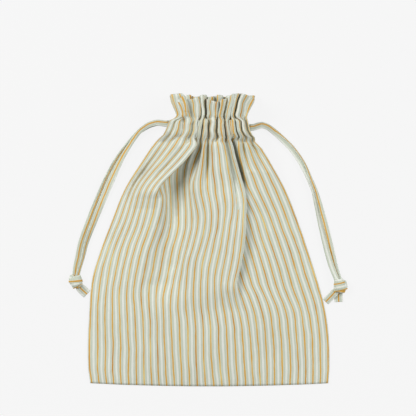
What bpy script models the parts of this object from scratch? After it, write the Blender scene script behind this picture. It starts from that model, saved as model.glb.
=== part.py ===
"""A small striped cotton bag, drawn shut by two cords of its own cloth and lying on its back.

The frame: x runs across the bag, y up it towards the mouth, z up from the surface it lies on.
The origin is on that surface. Sizes below are in millimetres, and u is a place across the flat
cloth, measured from its left side seam.
"""

import math
from collections import namedtuple

import bmesh
import bpy
import numpy as np

MM = 0.001

# Cloth
CLOTH_WIDTH = 244.0
CLOTH_THICKNESS = 1.0
HEM_OFFSET = 1.4
FINE_STEP = 0.5
STEEPEST = 1.9
HEADING_PRESS = 0.78
BACK_PRESS = 0.66
PLEAT_SHARE_INSIDE = 0.6

# The two flat folds of the front: where their creases are across the cloth, and their turn
CREASE_1_AT = 46.5
CREASE_2_AT = 159.2
TURN = 3.8
FLAP_LIFT_REACH = 45.0

# The heading: a casing between two lines of stitching, and a frill above it
UPPER_STITCH = 119.8
FRONT_TOP = 137.6
FRONT_TOP_SIDE_LIFT = 6.6
BACK_TOP = 144.0
BACK_TOP_SIDE_LIFT = 0.6
HEM_END = 102.6
HEM_EDGE = 0.8

# Inner layer of the casing: its height in front and at the back, its half width and its ripple
FRONT_FACING_HEIGHT = 19.0
BACK_FACING_HEIGHT = 12.7
FACING_HALF_WIDTH = 24.4
FACING_RIPPLE = 0.3
FACING_RIPPLES = 11

# The bottom edge hangs in a slight bow
BOTTOM_BOW = 3.0
BOTTOM_BOW_REACH = 90.0

# Tapes of the same cloth, folded and sewn
TAPE_WIDTH = 8.0
RUN_WIDTH = 7.0
TAPE_THICKNESS = 1.2
TAPE_EDGE = 0.4
FRONT_RUN_HEIGHT = 20.9
BACK_RUN_HEIGHT = 10.9
ROUTE_STEP = 9.0
TURN_AT = 24.0
RUN_EXIT = ((39.7, 1.0, 16.0), (36.0, 0.62, 17.6), (31.0, 0.15, 19.4), (26.5, 0.0, 20.9))
LEFT_RUN_Y = 115.6
RIGHT_RUN_Y = 107.6
RIGHT_RUN_DRIFT = 4.2

# Outline and creases of the front, one row for each height up the bag. hidden_1 and hidden_2 are
# the cloth that each flat fold takes in there.
Row = namedtuple("Row", "y left crease_1 hidden_1 crease_2 hidden_2 right")
ROWS = (
    Row(-143.0, -117.6, -73.6, 0.0, 38.4, 0.0, 118.6),
    Row(-138.0, -120.0, -74.6, 0.0, 38.0, 0.0, 120.0),
    Row(-120.0, -121.0, -74.8, 0.0, 37.0, 0.0, 120.0),
    Row(-100.0, -121.0, -74.8, 0.0, 35.6, 0.0, 119.6),
    Row(-80.0, -120.0, -75.2, 0.0, 33.4, 0.0, 117.8),
    Row(-60.0, -119.0, -76.2, 0.0, 27.8, 0.0, 113.8),
    Row(-48.0, -118.2, -76.4, 0.0, 25.2, 2.0, 110.4),
    Row(-40.0, -117.0, -75.2, 0.0, 26.6, 7.0, 108.0),
    Row(-30.0, -115.0, -73.2, 0.0, 30.0, 13.0, 105.0),
    Row(-20.0, -112.0, -71.0, 0.0, 32.0, 18.0, 102.0),
    Row(0.0, -106.0, -66.0, 0.0, 34.5, 27.0, 96.8),
    Row(20.0, -99.0, -59.6, 0.0, 35.5, 34.0, 90.0),
    Row(40.0, -92.0, -54.6, 0.0, 36.0, 42.0, 82.0),
    Row(50.0, -88.0, -53.6, 3.0, 34.0, 46.0, 78.0),
    Row(60.0, -82.0, -43.0, 18.6, 31.0, 49.0, 73.0),
    Row(70.0, -75.0, -32.6, 30.0, 28.0, 49.0, 67.0),
    Row(80.0, -68.0, -23.0, 36.0, 25.4, 49.0, 61.0),
    Row(90.0, -61.0, -15.4, 40.0, 23.0, 49.0, 55.0),
    Row(97.5, -54.6, -11.4, 42.0, 21.0, 49.0, 46.6),
    Row(101.2, -50.6, 0.0, 0.0, 0.0, 0.0, 43.4),
    Row(106.0, -46.0, 0.0, 0.0, 0.0, 0.0, 41.4),
    Row(113.0, -41.6, 0.0, 0.0, 0.0, 0.0, 39.6),
    Row(119.8, -35.0, 0.0, 0.0, 0.0, 0.0, 38.6),
    Row(126.0, -34.6, 0.0, 0.0, 0.0, 0.0, 40.6),
    Row(132.0, -37.4, 0.0, 0.0, 0.0, 0.0, 43.6),
    Row(137.6, -39.6, 0.0, 0.0, 0.0, 0.0, 45.8),
    Row(144.0, -40.6, 0.0, 0.0, 0.0, 0.0, 45.4),
)

# Heights, one row for each place up the bag: the front's middle, the front at its side seams,
# how flat the front is across, and how far the back lifts off the surface at its side seams.
Height = namedtuple("Height", "y crown seam flatness back_seam")
HEIGHTS = (
    Height(-146.0, 1.9, 1.9, 2.0, 0.0),
    Height(-138.0, 3.6, 1.9, 2.2, 0.0),
    Height(-100.0, 8.0, 1.9, 2.4, 0.0),
    Height(-40.0, 13.6, 1.9, 2.4, 0.0),
    Height(0.0, 17.0, 2.2, 2.4, 0.2),
    Height(30.0, 20.0, 3.6, 2.4, 1.4),
    Height(60.0, 22.4, 7.6, 2.6, 5.2),
    Height(80.0, 24.8, 11.8, 2.8, 9.0),
    Height(97.5, 27.4, 15.6, 3.2, 12.6),
    Height(101.2, 29.6, 22.0, 3.6, 4.4),
    Height(106.0, 31.0, 27.2, 4.0, 0.8),
    Height(113.0, 31.2, 27.6, 4.0, 0.8),
    Height(119.8, 31.0, 27.0, 4.0, 0.8),
    Height(126.0, 31.8, 25.8, 4.0, 1.0),
    Height(137.6, 34.6, 25.6, 4.0, 3.0),
    Height(144.0, 35.6, 26.0, 4.0, 3.0),
)

# Pleats: where each is across the cloth, the cloth that it spans, how far down it runs, and the
# height at which it has its full depth. Below the casing they come between the flat folds.
Pleat = namedtuple("Pleat", "at spans ends full")
FRONT_PLEATS = (
    Pleat(13.0, 22.0, 40.0, 97.0),
    Pleat(33.0, 18.0, 66.0, 97.0),
    Pleat(62.0, 28.0, -90.0, 30.0),
    Pleat(88.0, 24.0, -110.0, 10.0),
    Pleat(112.0, 24.0, -60.0, 60.0),
    Pleat(140.0, 28.0, -100.0, 20.0),
    Pleat(200.0, 20.0, 10.0, 80.0),
    Pleat(215.0, 30.0, -90.0, 0.0),
    Pleat(234.0, 18.0, 64.0, 97.0),
)
CASING_PLEATS = (12.0, 34.0, 57.0, 80.0, 101.0, 125.0, 149.0, 170.0, 189.0, 209.0, 231.0)
FRILL_PLEATS = (16.0, 40.0, 72.0, 98.0, 122.0, 148.0, 173.0, 198.0, 222.0)
BACK_PLEATS = (
    Pleat(26.0, 28.0, 52.0, 97.0),
    Pleat(52.0, 24.0, 30.0, 97.0),
    Pleat(78.0, 26.0, 58.0, 97.0),
    Pleat(103.0, 24.0, 40.0, 97.0),
    Pleat(128.0, 26.0, 20.0, 97.0),
    Pleat(153.0, 24.0, 56.0, 97.0),
    Pleat(178.0, 26.0, 34.0, 97.0),
    Pleat(202.0, 22.0, 60.0, 97.0),
    Pleat(222.0, 18.0, 44.0, 97.0),
)
BACK_HEADING_PLEATS = (11.0, 33.0, 55.0, 77.0, 99.0, 121.0, 144.0, 167.0, 189.0, 211.0, 233.0)

# Columns of each stretch across the front, from side seam to side seam
FRONT_COLUMNS = (11, 2, 2, 2, 24, 2, 3, 2, 18)
BACK_COLUMNS = 50
FRONT_BODY_ROWS = (
    -143.0, -139.0, -122.0, -92.0, -64.0, -48.0, -36.0, -22.0, 0.0, 22.0,
    40.0, 50.0, 56.0, 64.0, 72.0, 82.0, 91.0, 97.5,
)
BACK_BODY_ROWS = (-143.0, -139.0, -100.0, -40.0, 10.0, 36.0, 56.0, 74.0, 88.0, 97.5)
CASING_ROWS = (101.2, 106.0, 113.0, 119.8)
FRILL_ROWS = (126.0, 132.0)

# Routes of the cords' free legs, from the casing to the knot: place and height of the upper leg.
# The lower leg lies beside it on the surface, shifted by the step given for each point.
LegPoint = namedtuple("LegPoint", "x y z lower_dx lower_dy lower_z")
LEFT_LEGS = (
    LegPoint(-40.1, 115.6, 15.8, 0.0, 0.0, 10.8),
    LegPoint(-44.0, 115.7, 14.2, 0.0, 0.0, 10.2),
    LegPoint(-48.0, 116.4, 12.4, 0.0, 0.0, 9.0),
    LegPoint(-52.0, 116.8, 10.2, -0.2, -0.4, 7.2),
    LegPoint(-59.0, 115.2, 6.6, -0.6, -1.0, 4.4),
    LegPoint(-65.0, 111.8, 4.0, -1.0, -1.6, 1.9),
    LegPoint(-70.8, 106.8, 2.8, -1.4, -1.6, 0.9),
    LegPoint(-79.0, 96.4, 2.6, -2.4, -1.8, 0.8),
    LegPoint(-91.0, 81.0, 2.6, -3.6, -2.4, 0.8),
    LegPoint(-101.0, 63.6, 2.6, -4.4, -2.2, 0.8),
    LegPoint(-110.4, 41.8, 2.6, -4.6, -1.8, 0.8),
    LegPoint(-118.8, 21.6, 2.6, -4.4, -1.6, 0.8),
    LegPoint(-126.0, -1.0, 2.6, -4.0, -1.0, 0.8),
    LegPoint(-130.0, -18.0, 2.8, -3.2, -0.4, 0.8),
    LegPoint(-131.6, -28.0, 3.8, -2.2, -0.2, 1.2),
    LegPoint(-132.0, -34.6, 5.4, -1.2, 0.0, 2.4),
)
RIGHT_LEGS = (
    LegPoint(40.1, 111.8, 15.8, 0.0, 0.0, 10.8),
    LegPoint(44.0, 111.9, 14.2, 0.0, 0.0, 10.2),
    LegPoint(48.5, 113.2, 12.2, 0.0, 0.0, 8.8),
    LegPoint(53.0, 114.2, 10.2, 0.2, -0.4, 7.2),
    LegPoint(59.0, 112.0, 6.6, 0.4, -0.8, 4.4),
    LegPoint(65.0, 108.0, 4.0, 0.8, -1.2, 1.9),
    LegPoint(73.0, 101.4, 2.8, 1.2, -1.4, 0.9),
    LegPoint(84.0, 90.4, 2.6, 2.0, -1.6, 0.8),
    LegPoint(93.0, 76.6, 2.6, 2.6, -1.6, 0.8),
    LegPoint(100.0, 62.8, 2.6, 3.0, -1.6, 0.8),
    LegPoint(105.0, 48.4, 2.6, 3.4, -1.4, 0.8),
    LegPoint(109.4, 30.5, 2.6, 3.4, -1.2, 0.8),
    LegPoint(114.4, 10.0, 2.6, 3.4, -1.0, 0.8),
    LegPoint(119.6, -10.0, 2.6, 3.0, -0.8, 0.8),
    LegPoint(124.4, -25.0, 3.2, 2.2, -0.6, 1.0),
    LegPoint(128.0, -37.4, 5.4, 1.2, 0.0, 2.4),
)

# Knots, each a lump of the tapes turned round themselves
Knot = namedtuple("Knot", "x y length width height turn")
LEFT_KNOT = Knot(-132.6, -41.6, 14.0, 13.4, 9.6, 8.0)
RIGHT_KNOT = Knot(130.8, -44.4, 14.6, 13.4, 9.6, -14.0)
KNOT_RIBS = 3
KNOT_RIB_DEPTH = 0.07
KNOT_RIB_TWIST = 2.4

# The tails that come out of the knots
TAIL_THICKNESS = 2.4
TAIL_STEP = 3.0
Tail = namedtuple("Tail", "name width route")
LEFT_TAILS = (
    Tail("left_cord_tail", 9.6, ((-129.2, -48.2, 3.6), (-126.4, -51.4, 2.0), (-123.6, -54.6, 1.4))),
)
RIGHT_TAILS = (
    Tail("right_cord_tail_1", 8.6, ((124.6, -50.6, 3.4), (121.2, -55.6, 1.9), (117.4, -62.0, 1.4))),
    Tail("right_cord_tail_2", 8.6, ((132.8, -52.4, 3.4), (134.4, -56.4, 1.9), (135.2, -61.6, 1.4))),
)


def smooth(value):
    """Ease from 0 to 1 as the value goes from 0 to 1."""
    value = np.clip(value, 0.0, 1.0)
    return value * value * (3.0 - 2.0 * value)


def read_row(table, y):
    """The table's row at a height up the bag, read between its rows."""
    heights = [row.y for row in table]
    return type(table[0])(*(np.interp(y, heights, column) for column in zip(*table)))


def pleat_bands(pleats, y):
    """Each pleat's middle, half span and strength at a height, where it is deep enough to count."""
    bands = []
    for pleat in pleats:
        strength = float(smooth((y - pleat.ends) / (pleat.full - pleat.ends)))
        if strength > 0.0:
            bands.append((pleat.at, pleat.spans / 2, pleat.spans / 2, strength))
    return bands


def heading_bands(places):
    """Bands that tile the cloth, one round each of the given places, all at full strength."""
    edges = [0.0] + [(a + b) / 2 for a, b in zip(places, places[1:])] + [CLOTH_WIDTH]
    return [(at, at - low, high - at, 1.0) for at, low, high in zip(places, edges, edges[1:])]


def pleat_angle(u, bands, depth):
    """The slope of the cloth through its pleats: down one side of each and up the other."""
    angle = np.zeros_like(u)
    for at, before, after, strength in bands:
        phase = np.where(u < at, (u - at) / before, (u - at) / after)
        steepness = min(depth * strength, STEEPEST)
        angle += np.where(abs(phase) < 1.0, steepness * np.sin(math.pi * phase), 0.0)
    return angle


def gather(start, end, bands, width):
    """Fold a stretch of cloth to a width: its fine places u, and x, z and slope at each."""
    count = max(2, int(round((end - start) / FINE_STEP)) + 1)
    u = np.linspace(start, end, count)
    middles = (u[1:] + u[:-1]) / 2
    step = (end - start) / (count - 1)
    shallow, deep = 0.0, 4.0
    for _ in range(26):
        depth = (shallow + deep) / 2
        if np.cos(pleat_angle(middles, bands, depth)).sum() * step > width:
            shallow = depth
        else:
            deep = depth
    angle = pleat_angle(middles, bands, shallow)
    x = np.concatenate(([0.0], np.cumsum(np.cos(angle)) * step))
    z = np.concatenate(([0.0], np.cumsum(np.sin(angle)) * step))
    level = sorted({start, end} | {at - before for at, before, _, _ in bands if at - before > start})
    z -= np.interp(u, level, np.interp(level, u, z))
    return u, x * width / x[-1], z, pleat_angle(u, bands, shallow)


def flat_fold(start, hidden):
    """A flat fold that takes in some cloth: its places u, and x, z and slope from its crease."""
    strength = min(1.0, (hidden / (2 * TURN)) ** 0.7)
    flap = max(0.0, hidden / 2 - TURN)
    length = 2 * TURN + flap
    u = np.linspace(0.0, length, max(2, int(round(length / FINE_STEP * 2))) + 1)
    turning = np.clip(u / TURN, 0.0, 1.0) - np.clip((u - TURN - flap) / TURN, 0.0, 1.0)
    angle = -math.pi * strength * turning
    middles = (angle[1:] + angle[:-1]) / 2
    step = length / (len(u) - 1)
    x = np.concatenate(([0.0], np.cumsum(np.cos(middles)) * step))
    z = np.concatenate(([0.0], np.cumsum(np.sin(middles)) * step))
    return start + u, x, z, angle


def body_section(row, pleats):
    """One cut across the front below its casing: fine arrays of u, x, z and slope.

    The cloth before each flat fold is raised, so that it lies over the cloth after the fold.
    """
    fold_1 = flat_fold(CREASE_1_AT, row.hidden_1)
    fold_2 = flat_fold(CREASE_2_AT, row.hidden_2)
    stretches = (
        (0.0, CREASE_1_AT, row.left, row.crease_1),
        (fold_1[0][-1], CREASE_2_AT, row.crease_1 + fold_1[1][-1], row.crease_2),
        (fold_2[0][-1], CLOTH_WIDTH, row.crease_2 + fold_2[1][-1], row.right),
    )
    parts = []
    for index, (start, end, x_start, x_end) in enumerate(stretches):
        bands = [band for band in pleats
                 if start <= band[0] - band[1] * PLEAT_SHARE_INSIDE and band[0] < end]
        bands = [(at, min(before, at - start), min(after, end - at), strength)
                 for at, before, after, strength in bands]
        u, x, z, slope = gather(start, end, bands, x_end - x_start)
        if index == 2:
            parts.append((u, x_start + x, z, slope))
            continue
        fold_u, fold_x, fold_z, fold_slope = (fold_1, fold_2)[index]
        drop = -fold_z[-1]
        z += drop * smooth((u - fold_u[0]) / FLAP_LIFT_REACH + 1.0)
        parts.append((u, x_start + x, z, slope))
        parts.append((fold_u, x_end + fold_x, fold_z + drop, fold_slope))
    return [np.concatenate(values) for values in zip(*parts)]


def column_places(row):
    """Where the front's columns are across the cloth at a height below the casing."""
    places = [0.0]
    corners = [CREASE_1_AT]
    for crease, hidden in ((CREASE_1_AT, row.hidden_1), (CREASE_2_AT, row.hidden_2)):
        flap = max(1.0, hidden / 2 - TURN)
        if crease == CREASE_2_AT:
            corners.append(crease)
        corners += [crease + TURN, crease + TURN + flap, crease + 2 * TURN + flap]
    corners.append(CLOTH_WIDTH)
    for corner, count in zip(corners, FRONT_COLUMNS):
        places += list(np.linspace(places[-1], corner, count + 1)[1:])
    return np.array(places)


def heading_section(places, left, right):
    """One cut across the casing or the frill, gathered evenly: fine u, x, z and slope."""
    u, x, z, slope = gather(0.0, CLOTH_WIDTH, heading_bands(places), right - left)
    return u, left + x, z * HEADING_PRESS, slope


def front_point_row(y, section, columns, offset=0.0):
    """Points of the front across the bag at a height, set in along their normals if asked."""
    u, x, z, slope = section
    at = [np.interp(columns, u, values) for values in (x, z, slope)]
    height = read_row(HEIGHTS, y)
    across = (at[0] - (x[0] + x[-1]) / 2) / ((x[-1] - x[0]) / 2)
    base = height.seam + (height.crown - height.seam) * (1.0 - np.abs(across) ** height.flatness)
    bow = BOTTOM_BOW * smooth(1.0 - (y - FRONT_BODY_ROWS[0]) / BOTTOM_BOW_REACH)
    shift_y = -bow * (1.0 - across ** 2)
    px = at[0] + offset * np.sin(at[2])
    pz = base + at[1] - offset * np.cos(at[2])
    return [(a, y + b, c) for a, b, c in zip(px, shift_y, pz)]


def back_point_row(y, section, columns, offset=0.0):
    """Points of the back across the bag at a height, set in along their normals if asked."""
    u, x, z, slope = section
    at = [np.interp(columns, u, values) for values in (x, z, slope)]
    height = read_row(HEIGHTS, y)
    across = (at[0] - (x[0] + x[-1]) / 2) / ((x[-1] - x[0]) / 2)
    base = CLOTH_THICKNESS / 2 + height.back_seam * np.abs(across) ** 4
    bow = BOTTOM_BOW * smooth(1.0 - (y - FRONT_BODY_ROWS[0]) / BOTTOM_BOW_REACH)
    shift_y = -bow * (1.0 - across ** 2)
    px = at[0] + offset * np.sin(at[2])
    pz = base - at[1] + offset * np.cos(at[2])
    return [(a, y + b, c) for a, b, c in zip(px, shift_y, pz)]


def facing_row(y, count, height):
    """Points of the casing's inner layer at a height up the bag: nearly flat, with a ripple."""
    across = np.linspace(-1.0, 1.0, count)
    ripple = FACING_RIPPLE * np.cos(math.pi * FACING_RIPPLES * across)
    return [(FACING_HALF_WIDTH * a, y, height + r) for a, r in zip(across, ripple)]


def lift_sides(points, amount):
    """Raise the side ends of a row up the bag."""
    left, right = points[0][0], points[-1][0]
    half = (right - left) / 2
    return [(x, y + amount * ((x - left) / half - 1.0) ** 2, z) for x, y, z in points]


def frill_row(y, columns, offset=0.0):
    """Points of the front's frill at a height, its sides raised as far as it has opened out."""
    row = read_row(ROWS, y)
    frill = heading_section(FRILL_PLEATS, row.left, row.right)
    opened = (y - UPPER_STITCH) / (FRONT_TOP - UPPER_STITCH)
    return lift_sides(front_point_row(y, frill, columns, offset), FRONT_TOP_SIDE_LIFT * opened)


def front_rows():
    """All rows of the front: body, casing, frill, and the hem turned in behind them."""
    rows = []
    for y in FRONT_BODY_ROWS:
        row = read_row(ROWS, y)
        section = body_section(row, pleat_bands(FRONT_PLEATS, y))
        rows.append(front_point_row(y, section, column_places(row)))
    columns = np.linspace(0.0, CLOTH_WIDTH, sum(FRONT_COLUMNS) + 1)
    for y in CASING_ROWS:
        row = read_row(ROWS, y)
        rows.append(front_point_row(y, heading_section(CASING_PLEATS, row.left, row.right), columns))
    rows += [frill_row(y, columns) for y in FRILL_ROWS]
    rows.append(frill_row(FRONT_TOP - HEM_EDGE, columns))
    rows.append(frill_row(FRONT_TOP, columns, HEM_OFFSET / 2))
    rows.append(frill_row(FRONT_TOP - HEM_EDGE, columns, HEM_OFFSET))
    rows.append(frill_row(FRILL_ROWS[0], columns, HEM_OFFSET))
    for y in (UPPER_STITCH, HEM_END):
        rows.append(facing_row(y, len(columns), FRONT_FACING_HEIGHT))
    return rows


def back_rows():
    """All rows of the back: body, casing, frill, and the hem turned in over them."""
    rows = []
    columns = np.linspace(0.0, CLOTH_WIDTH, BACK_COLUMNS + 1)
    for y in BACK_BODY_ROWS:
        row = read_row(ROWS, y)
        section = gather(0.0, CLOTH_WIDTH, pleat_bands(BACK_PLEATS, y), row.right - row.left)
        section = (section[0], row.left + section[1], section[2] * BACK_PRESS, section[3])
        rows.append(back_point_row(y, section, columns))
    for y in CASING_ROWS + FRILL_ROWS[:1]:
        row = read_row(ROWS, y)
        heading = heading_section(BACK_HEADING_PLEATS, row.left, row.right)
        rows.append(back_point_row(y, heading, columns))
    row = read_row(ROWS, BACK_TOP)
    frill = heading_section(BACK_HEADING_PLEATS, row.left, row.right)
    below = BACK_TOP - HEM_EDGE
    for y, offset in ((below, 0.0), (BACK_TOP, HEM_OFFSET / 2), (below, HEM_OFFSET)):
        rows.append(lift_sides(back_point_row(y, frill, columns, offset), BACK_TOP_SIDE_LIFT))
    y = FRILL_ROWS[0]
    row = read_row(ROWS, y)
    frill = heading_section(BACK_HEADING_PLEATS, row.left, row.right)
    rows.append(back_point_row(y, frill, columns, HEM_OFFSET))
    for y in (UPPER_STITCH, HEM_END):
        rows.append(facing_row(y, len(columns), BACK_FACING_HEIGHT))
    return rows


def cotton(name, color):
    """Plain cotton cloth in one of the bag's colours."""
    material = bpy.data.materials.new(name)
    material.use_nodes = True
    shader = material.node_tree.nodes["Principled BSDF"]
    shader.inputs["Base Color"].default_value = (*color, 1.0)
    shader.inputs["Roughness"].default_value = 0.85
    shader.inputs["Metallic"].default_value = 0.0
    return material


def add_cloth(collection, name, rows, material):
    """A panel of cloth through rows of points, given its thickness by Solidify."""
    mesh = bmesh.new()
    grid = [[mesh.verts.new((x * MM, y * MM, z * MM)) for x, y, z in row] for row in rows]
    for low, high in zip(grid, grid[1:]):
        for a, b, c, d in zip(low, low[1:], high[1:], high):
            mesh.faces.new((a, b, c, d))
    data = bpy.data.meshes.new(name)
    mesh.to_mesh(data)
    mesh.free()
    data.materials.append(material)
    data.shade_smooth()
    panel = bpy.data.objects.new(name, data)
    collection.objects.link(panel)
    solidify = panel.modifiers.new("Cloth thickness", "SOLIDIFY")
    solidify.thickness = CLOTH_THICKNESS * MM
    solidify.offset = 0.0
    return panel


def tape_profile(collection, name, width, thickness):
    """The flat section of a tape, as a guide that curves are bevelled with."""
    half, deep, edge = width / 2, thickness / 2, TAPE_EDGE
    corners = (
        (half, edge - deep), (half - edge, -deep), (edge - half, -deep), (-half, edge - deep),
        (-half, deep - edge), (edge - half, deep), (half - edge, deep), (half, deep - edge),
    )
    curve = bpy.data.curves.new(name, "CURVE")
    curve.dimensions = "2D"
    curve.fill_mode = "NONE"
    spline = curve.splines.new("POLY")
    spline.points.add(len(corners) - 1)
    for point, (x, y) in zip(spline.points, corners):
        point.co = (x * MM, y * MM, 0.0, 1.0)
    spline.use_cyclic_u = True
    profile = bpy.data.objects.new(name, curve)
    profile.hide_render = True
    profile.display_type = "WIRE"
    collection.objects.link(profile)
    return profile


def smooth_route(points, step):
    """Points at even steps along a smooth curve through the route's own points."""
    route = []
    padded = [points[0]] + list(points) + [points[-1]]
    for p0, p1, p2, p3 in zip(padded, padded[1:], padded[2:], padded[3:]):
        pieces = max(1, int(round(math.dist(p1, p2) / step)))
        for k in range(pieces):
            t = k / pieces
            route.append(tuple(
                0.5 * (2 * b + (c - a) * t + (2 * a - 5 * b + 4 * c - d) * t * t
                       + (3 * b - a - 3 * c + d) * t ** 3)
                for a, b, c, d in zip(p0, p1, p2, p3)))
    route.append(tuple(points[-1]))
    return route


def add_tape(collection, name, route, profile, material, step=ROUTE_STEP):
    """A tape that lies flat along a route, as a curve with the tape's section and filled ends."""
    curve = bpy.data.curves.new(name, "CURVE")
    curve.dimensions = "3D"
    curve.twist_mode = "Z_UP"
    curve.bevel_mode = "OBJECT"
    curve.bevel_object = profile
    curve.use_fill_caps = True
    points = smooth_route(route, step)
    spline = curve.splines.new("POLY")
    spline.points.add(len(points) - 1)
    for point, place in zip(spline.points, points):
        point.co = (*(value * MM for value in place), 1.0)
    curve.materials.append(material)
    tape = bpy.data.objects.new(name, curve)
    collection.objects.link(tape)
    return tape


def run_route(side, y, drift):
    """The cord's way round inside the casing: in at the front, a turn at the far side, and back.

    The drift is how far up the bag the cord has moved where it comes out.
    """
    radius = (FRONT_RUN_HEIGHT - BACK_RUN_HEIGHT) / 2
    middle = (FRONT_RUN_HEIGHT + BACK_RUN_HEIGHT) / 2
    far = -side * TURN_AT
    route = [(side * x, y + drift * share, z) for x, share, z in RUN_EXIT]
    route += [(0.0, y, FRONT_RUN_HEIGHT), (far, y, FRONT_RUN_HEIGHT)]
    for k in range(1, 6):
        angle = math.pi * k / 6
        route.append((far - side * radius * math.sin(angle), y, middle + radius * math.cos(angle)))
    route += [(far, y, BACK_RUN_HEIGHT), (0.0, y, BACK_RUN_HEIGHT)]
    route += [(side * x, y + drift * share, BACK_RUN_HEIGHT) for x, share, _ in reversed(RUN_EXIT)]
    return route


def add_run(collection, name, route, material):
    """The hidden stretch of a cord: a strip as wide as the tape, given its thickness by Solidify."""
    mesh = bmesh.new()
    half = RUN_WIDTH / 2
    edges = [[mesh.verts.new((x * MM, (y + side * half) * MM, z * MM)) for x, y, z in route]
             for side in (-1, 1)]
    for a, b, c, d in zip(edges[0], edges[0][1:], edges[1][1:], edges[1]):
        mesh.faces.new((a, b, c, d))
    data = bpy.data.meshes.new(name)
    mesh.to_mesh(data)
    mesh.free()
    data.materials.append(material)
    run = bpy.data.objects.new(name, data)
    collection.objects.link(run)
    solidify = run.modifiers.new("Tape thickness", "SOLIDIFY")
    solidify.thickness = TAPE_THICKNESS * MM
    solidify.offset = 0.0
    return run


def add_knot(collection, name, knot, material):
    """A knot: a flattened round lump with ribs that turn round it, resting on the surface."""
    mesh = bmesh.new()
    bmesh.ops.create_uvsphere(mesh, u_segments=18, v_segments=10, radius=1.0)
    for vert in mesh.verts:
        around = math.atan2(vert.co.y, vert.co.x)
        rib = 1.0 + KNOT_RIB_DEPTH * math.sin(KNOT_RIBS * around + KNOT_RIB_TWIST * vert.co.z)
        vert.co.x *= rib * knot.length / 2 * MM
        vert.co.y *= rib * knot.width / 2 * MM
        vert.co.z *= knot.height / 2 * MM
    data = bpy.data.meshes.new(name)
    mesh.to_mesh(data)
    mesh.free()
    data.materials.append(material)
    data.shade_smooth()
    lump = bpy.data.objects.new(name, data)
    lump.location = (knot.x * MM, knot.y * MM, knot.height / 2 * MM)
    lump.rotation_euler = (0.0, 0.0, math.radians(knot.turn))
    collection.objects.link(lump)
    return lump


def add_cord(collection, side_name, legs, run, knot, tails, profiles, material):
    """One drawstring: its hidden run, its two free legs, the knot that joins them, and its tails."""
    upper = [(p.x, p.y, p.z) for p in legs]
    lower = [(p.x + p.lower_dx, p.y + p.lower_dy, p.lower_z) for p in legs]
    add_run(collection, f"{side_name}_cord_run", run, material)
    add_tape(collection, f"{side_name}_cord_front_leg", upper, profiles["leg"], material)
    add_tape(collection, f"{side_name}_cord_back_leg", lower, profiles["leg"], material)
    add_knot(collection, f"{side_name}_knot", knot, material)
    for tail in tails:
        add_tape(collection, tail.name, tail.route, profiles[tail.width], material, TAIL_STEP)


def build():
    """Clear the scene and build the bag."""
    for thing in list(bpy.data.objects):
        bpy.data.objects.remove(thing)
    bag = bpy.data.collections.new("Drawstring bag")
    guides = bpy.data.collections.new("Guides")
    for collection in (bag, guides):
        bpy.context.scene.collection.children.link(collection)
    panel_cotton = cotton("Striped cotton", (0.66, 0.67, 0.56))
    tape_cotton = cotton("Striped cotton tape", (0.60, 0.61, 0.50))
    profiles = {"leg": tape_profile(guides, "Leg section", TAPE_WIDTH, TAPE_THICKNESS)}
    for tail in LEFT_TAILS + RIGHT_TAILS[:1]:
        profiles[tail.width] = tape_profile(guides, f"{tail.name} section", tail.width, TAIL_THICKNESS)
    add_cloth(bag, "front_panel", front_rows(), panel_cotton)
    add_cloth(bag, "back_panel", back_rows(), panel_cotton)
    left_run = run_route(-1.0, LEFT_RUN_Y, 0.0)
    right_run = run_route(1.0, RIGHT_RUN_Y, RIGHT_RUN_DRIFT)
    add_cord(bag, "left", LEFT_LEGS, left_run, LEFT_KNOT, LEFT_TAILS, profiles, tape_cotton)
    add_cord(bag, "right", RIGHT_LEGS, right_run, RIGHT_KNOT, RIGHT_TAILS, profiles, tape_cotton)


build()
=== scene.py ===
"""The looks of a small striped cotton bag, drawn shut by two flat cords and lying on its back.

Sizes are in millimetres until a point becomes a vertex, and the studio's are in metres. The frame
is the part's own: x across the bag, y up it towards its mouth, z up from the surface it lies on. u
is a place across the flat cloth, measured from its left side seam, and v a place up the flat cloth.
"""

from __future__ import annotations

import logging
import math
from dataclasses import dataclass, field
from enum import Enum
from typing import NamedTuple, Sequence

import bmesh
import bpy
import numpy as np
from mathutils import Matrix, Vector, noise

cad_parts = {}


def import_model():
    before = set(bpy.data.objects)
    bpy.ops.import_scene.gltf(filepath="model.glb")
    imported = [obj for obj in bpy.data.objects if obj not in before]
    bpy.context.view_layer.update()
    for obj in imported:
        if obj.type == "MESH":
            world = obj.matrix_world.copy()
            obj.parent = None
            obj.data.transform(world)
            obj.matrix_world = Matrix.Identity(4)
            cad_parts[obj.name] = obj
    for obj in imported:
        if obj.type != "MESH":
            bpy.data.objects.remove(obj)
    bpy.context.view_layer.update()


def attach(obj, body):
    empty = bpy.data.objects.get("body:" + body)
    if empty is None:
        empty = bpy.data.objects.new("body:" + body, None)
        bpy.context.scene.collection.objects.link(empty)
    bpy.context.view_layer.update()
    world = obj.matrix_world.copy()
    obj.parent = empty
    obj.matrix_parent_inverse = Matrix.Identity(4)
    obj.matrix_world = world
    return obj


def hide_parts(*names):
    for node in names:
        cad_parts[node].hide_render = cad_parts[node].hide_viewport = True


LOG = logging.getLogger("bag")

MM = 0.001
Point = tuple[float, float, float]

# The point of the surface at the photograph's middle, and half the width that it shows
VIEW_MIDDLE_X = -1.0
VIEW_MIDDLE_Y = 32.0
VIEW_HALF_WIDTH = 208.0

# The cloth: its size, its stripes, and how finely and how steeply it is folded
CLOTH_WIDTH = 244.0
FIRST_STRIPE = 1.6
STRIPE_REPEAT = 7.77
SHEET_THICKNESS = 0.4
FINE_STEP = 0.5
DEPTH_HALVINGS = 24
STEEPEST = 1.9
BODY_STEEPEST = 1.35
DEEPEST = 4.0
HEADING_PRESS = 0.86
BACK_PRESS = 0.66
ANCHOR_CLEARANCE = 2.0

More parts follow.
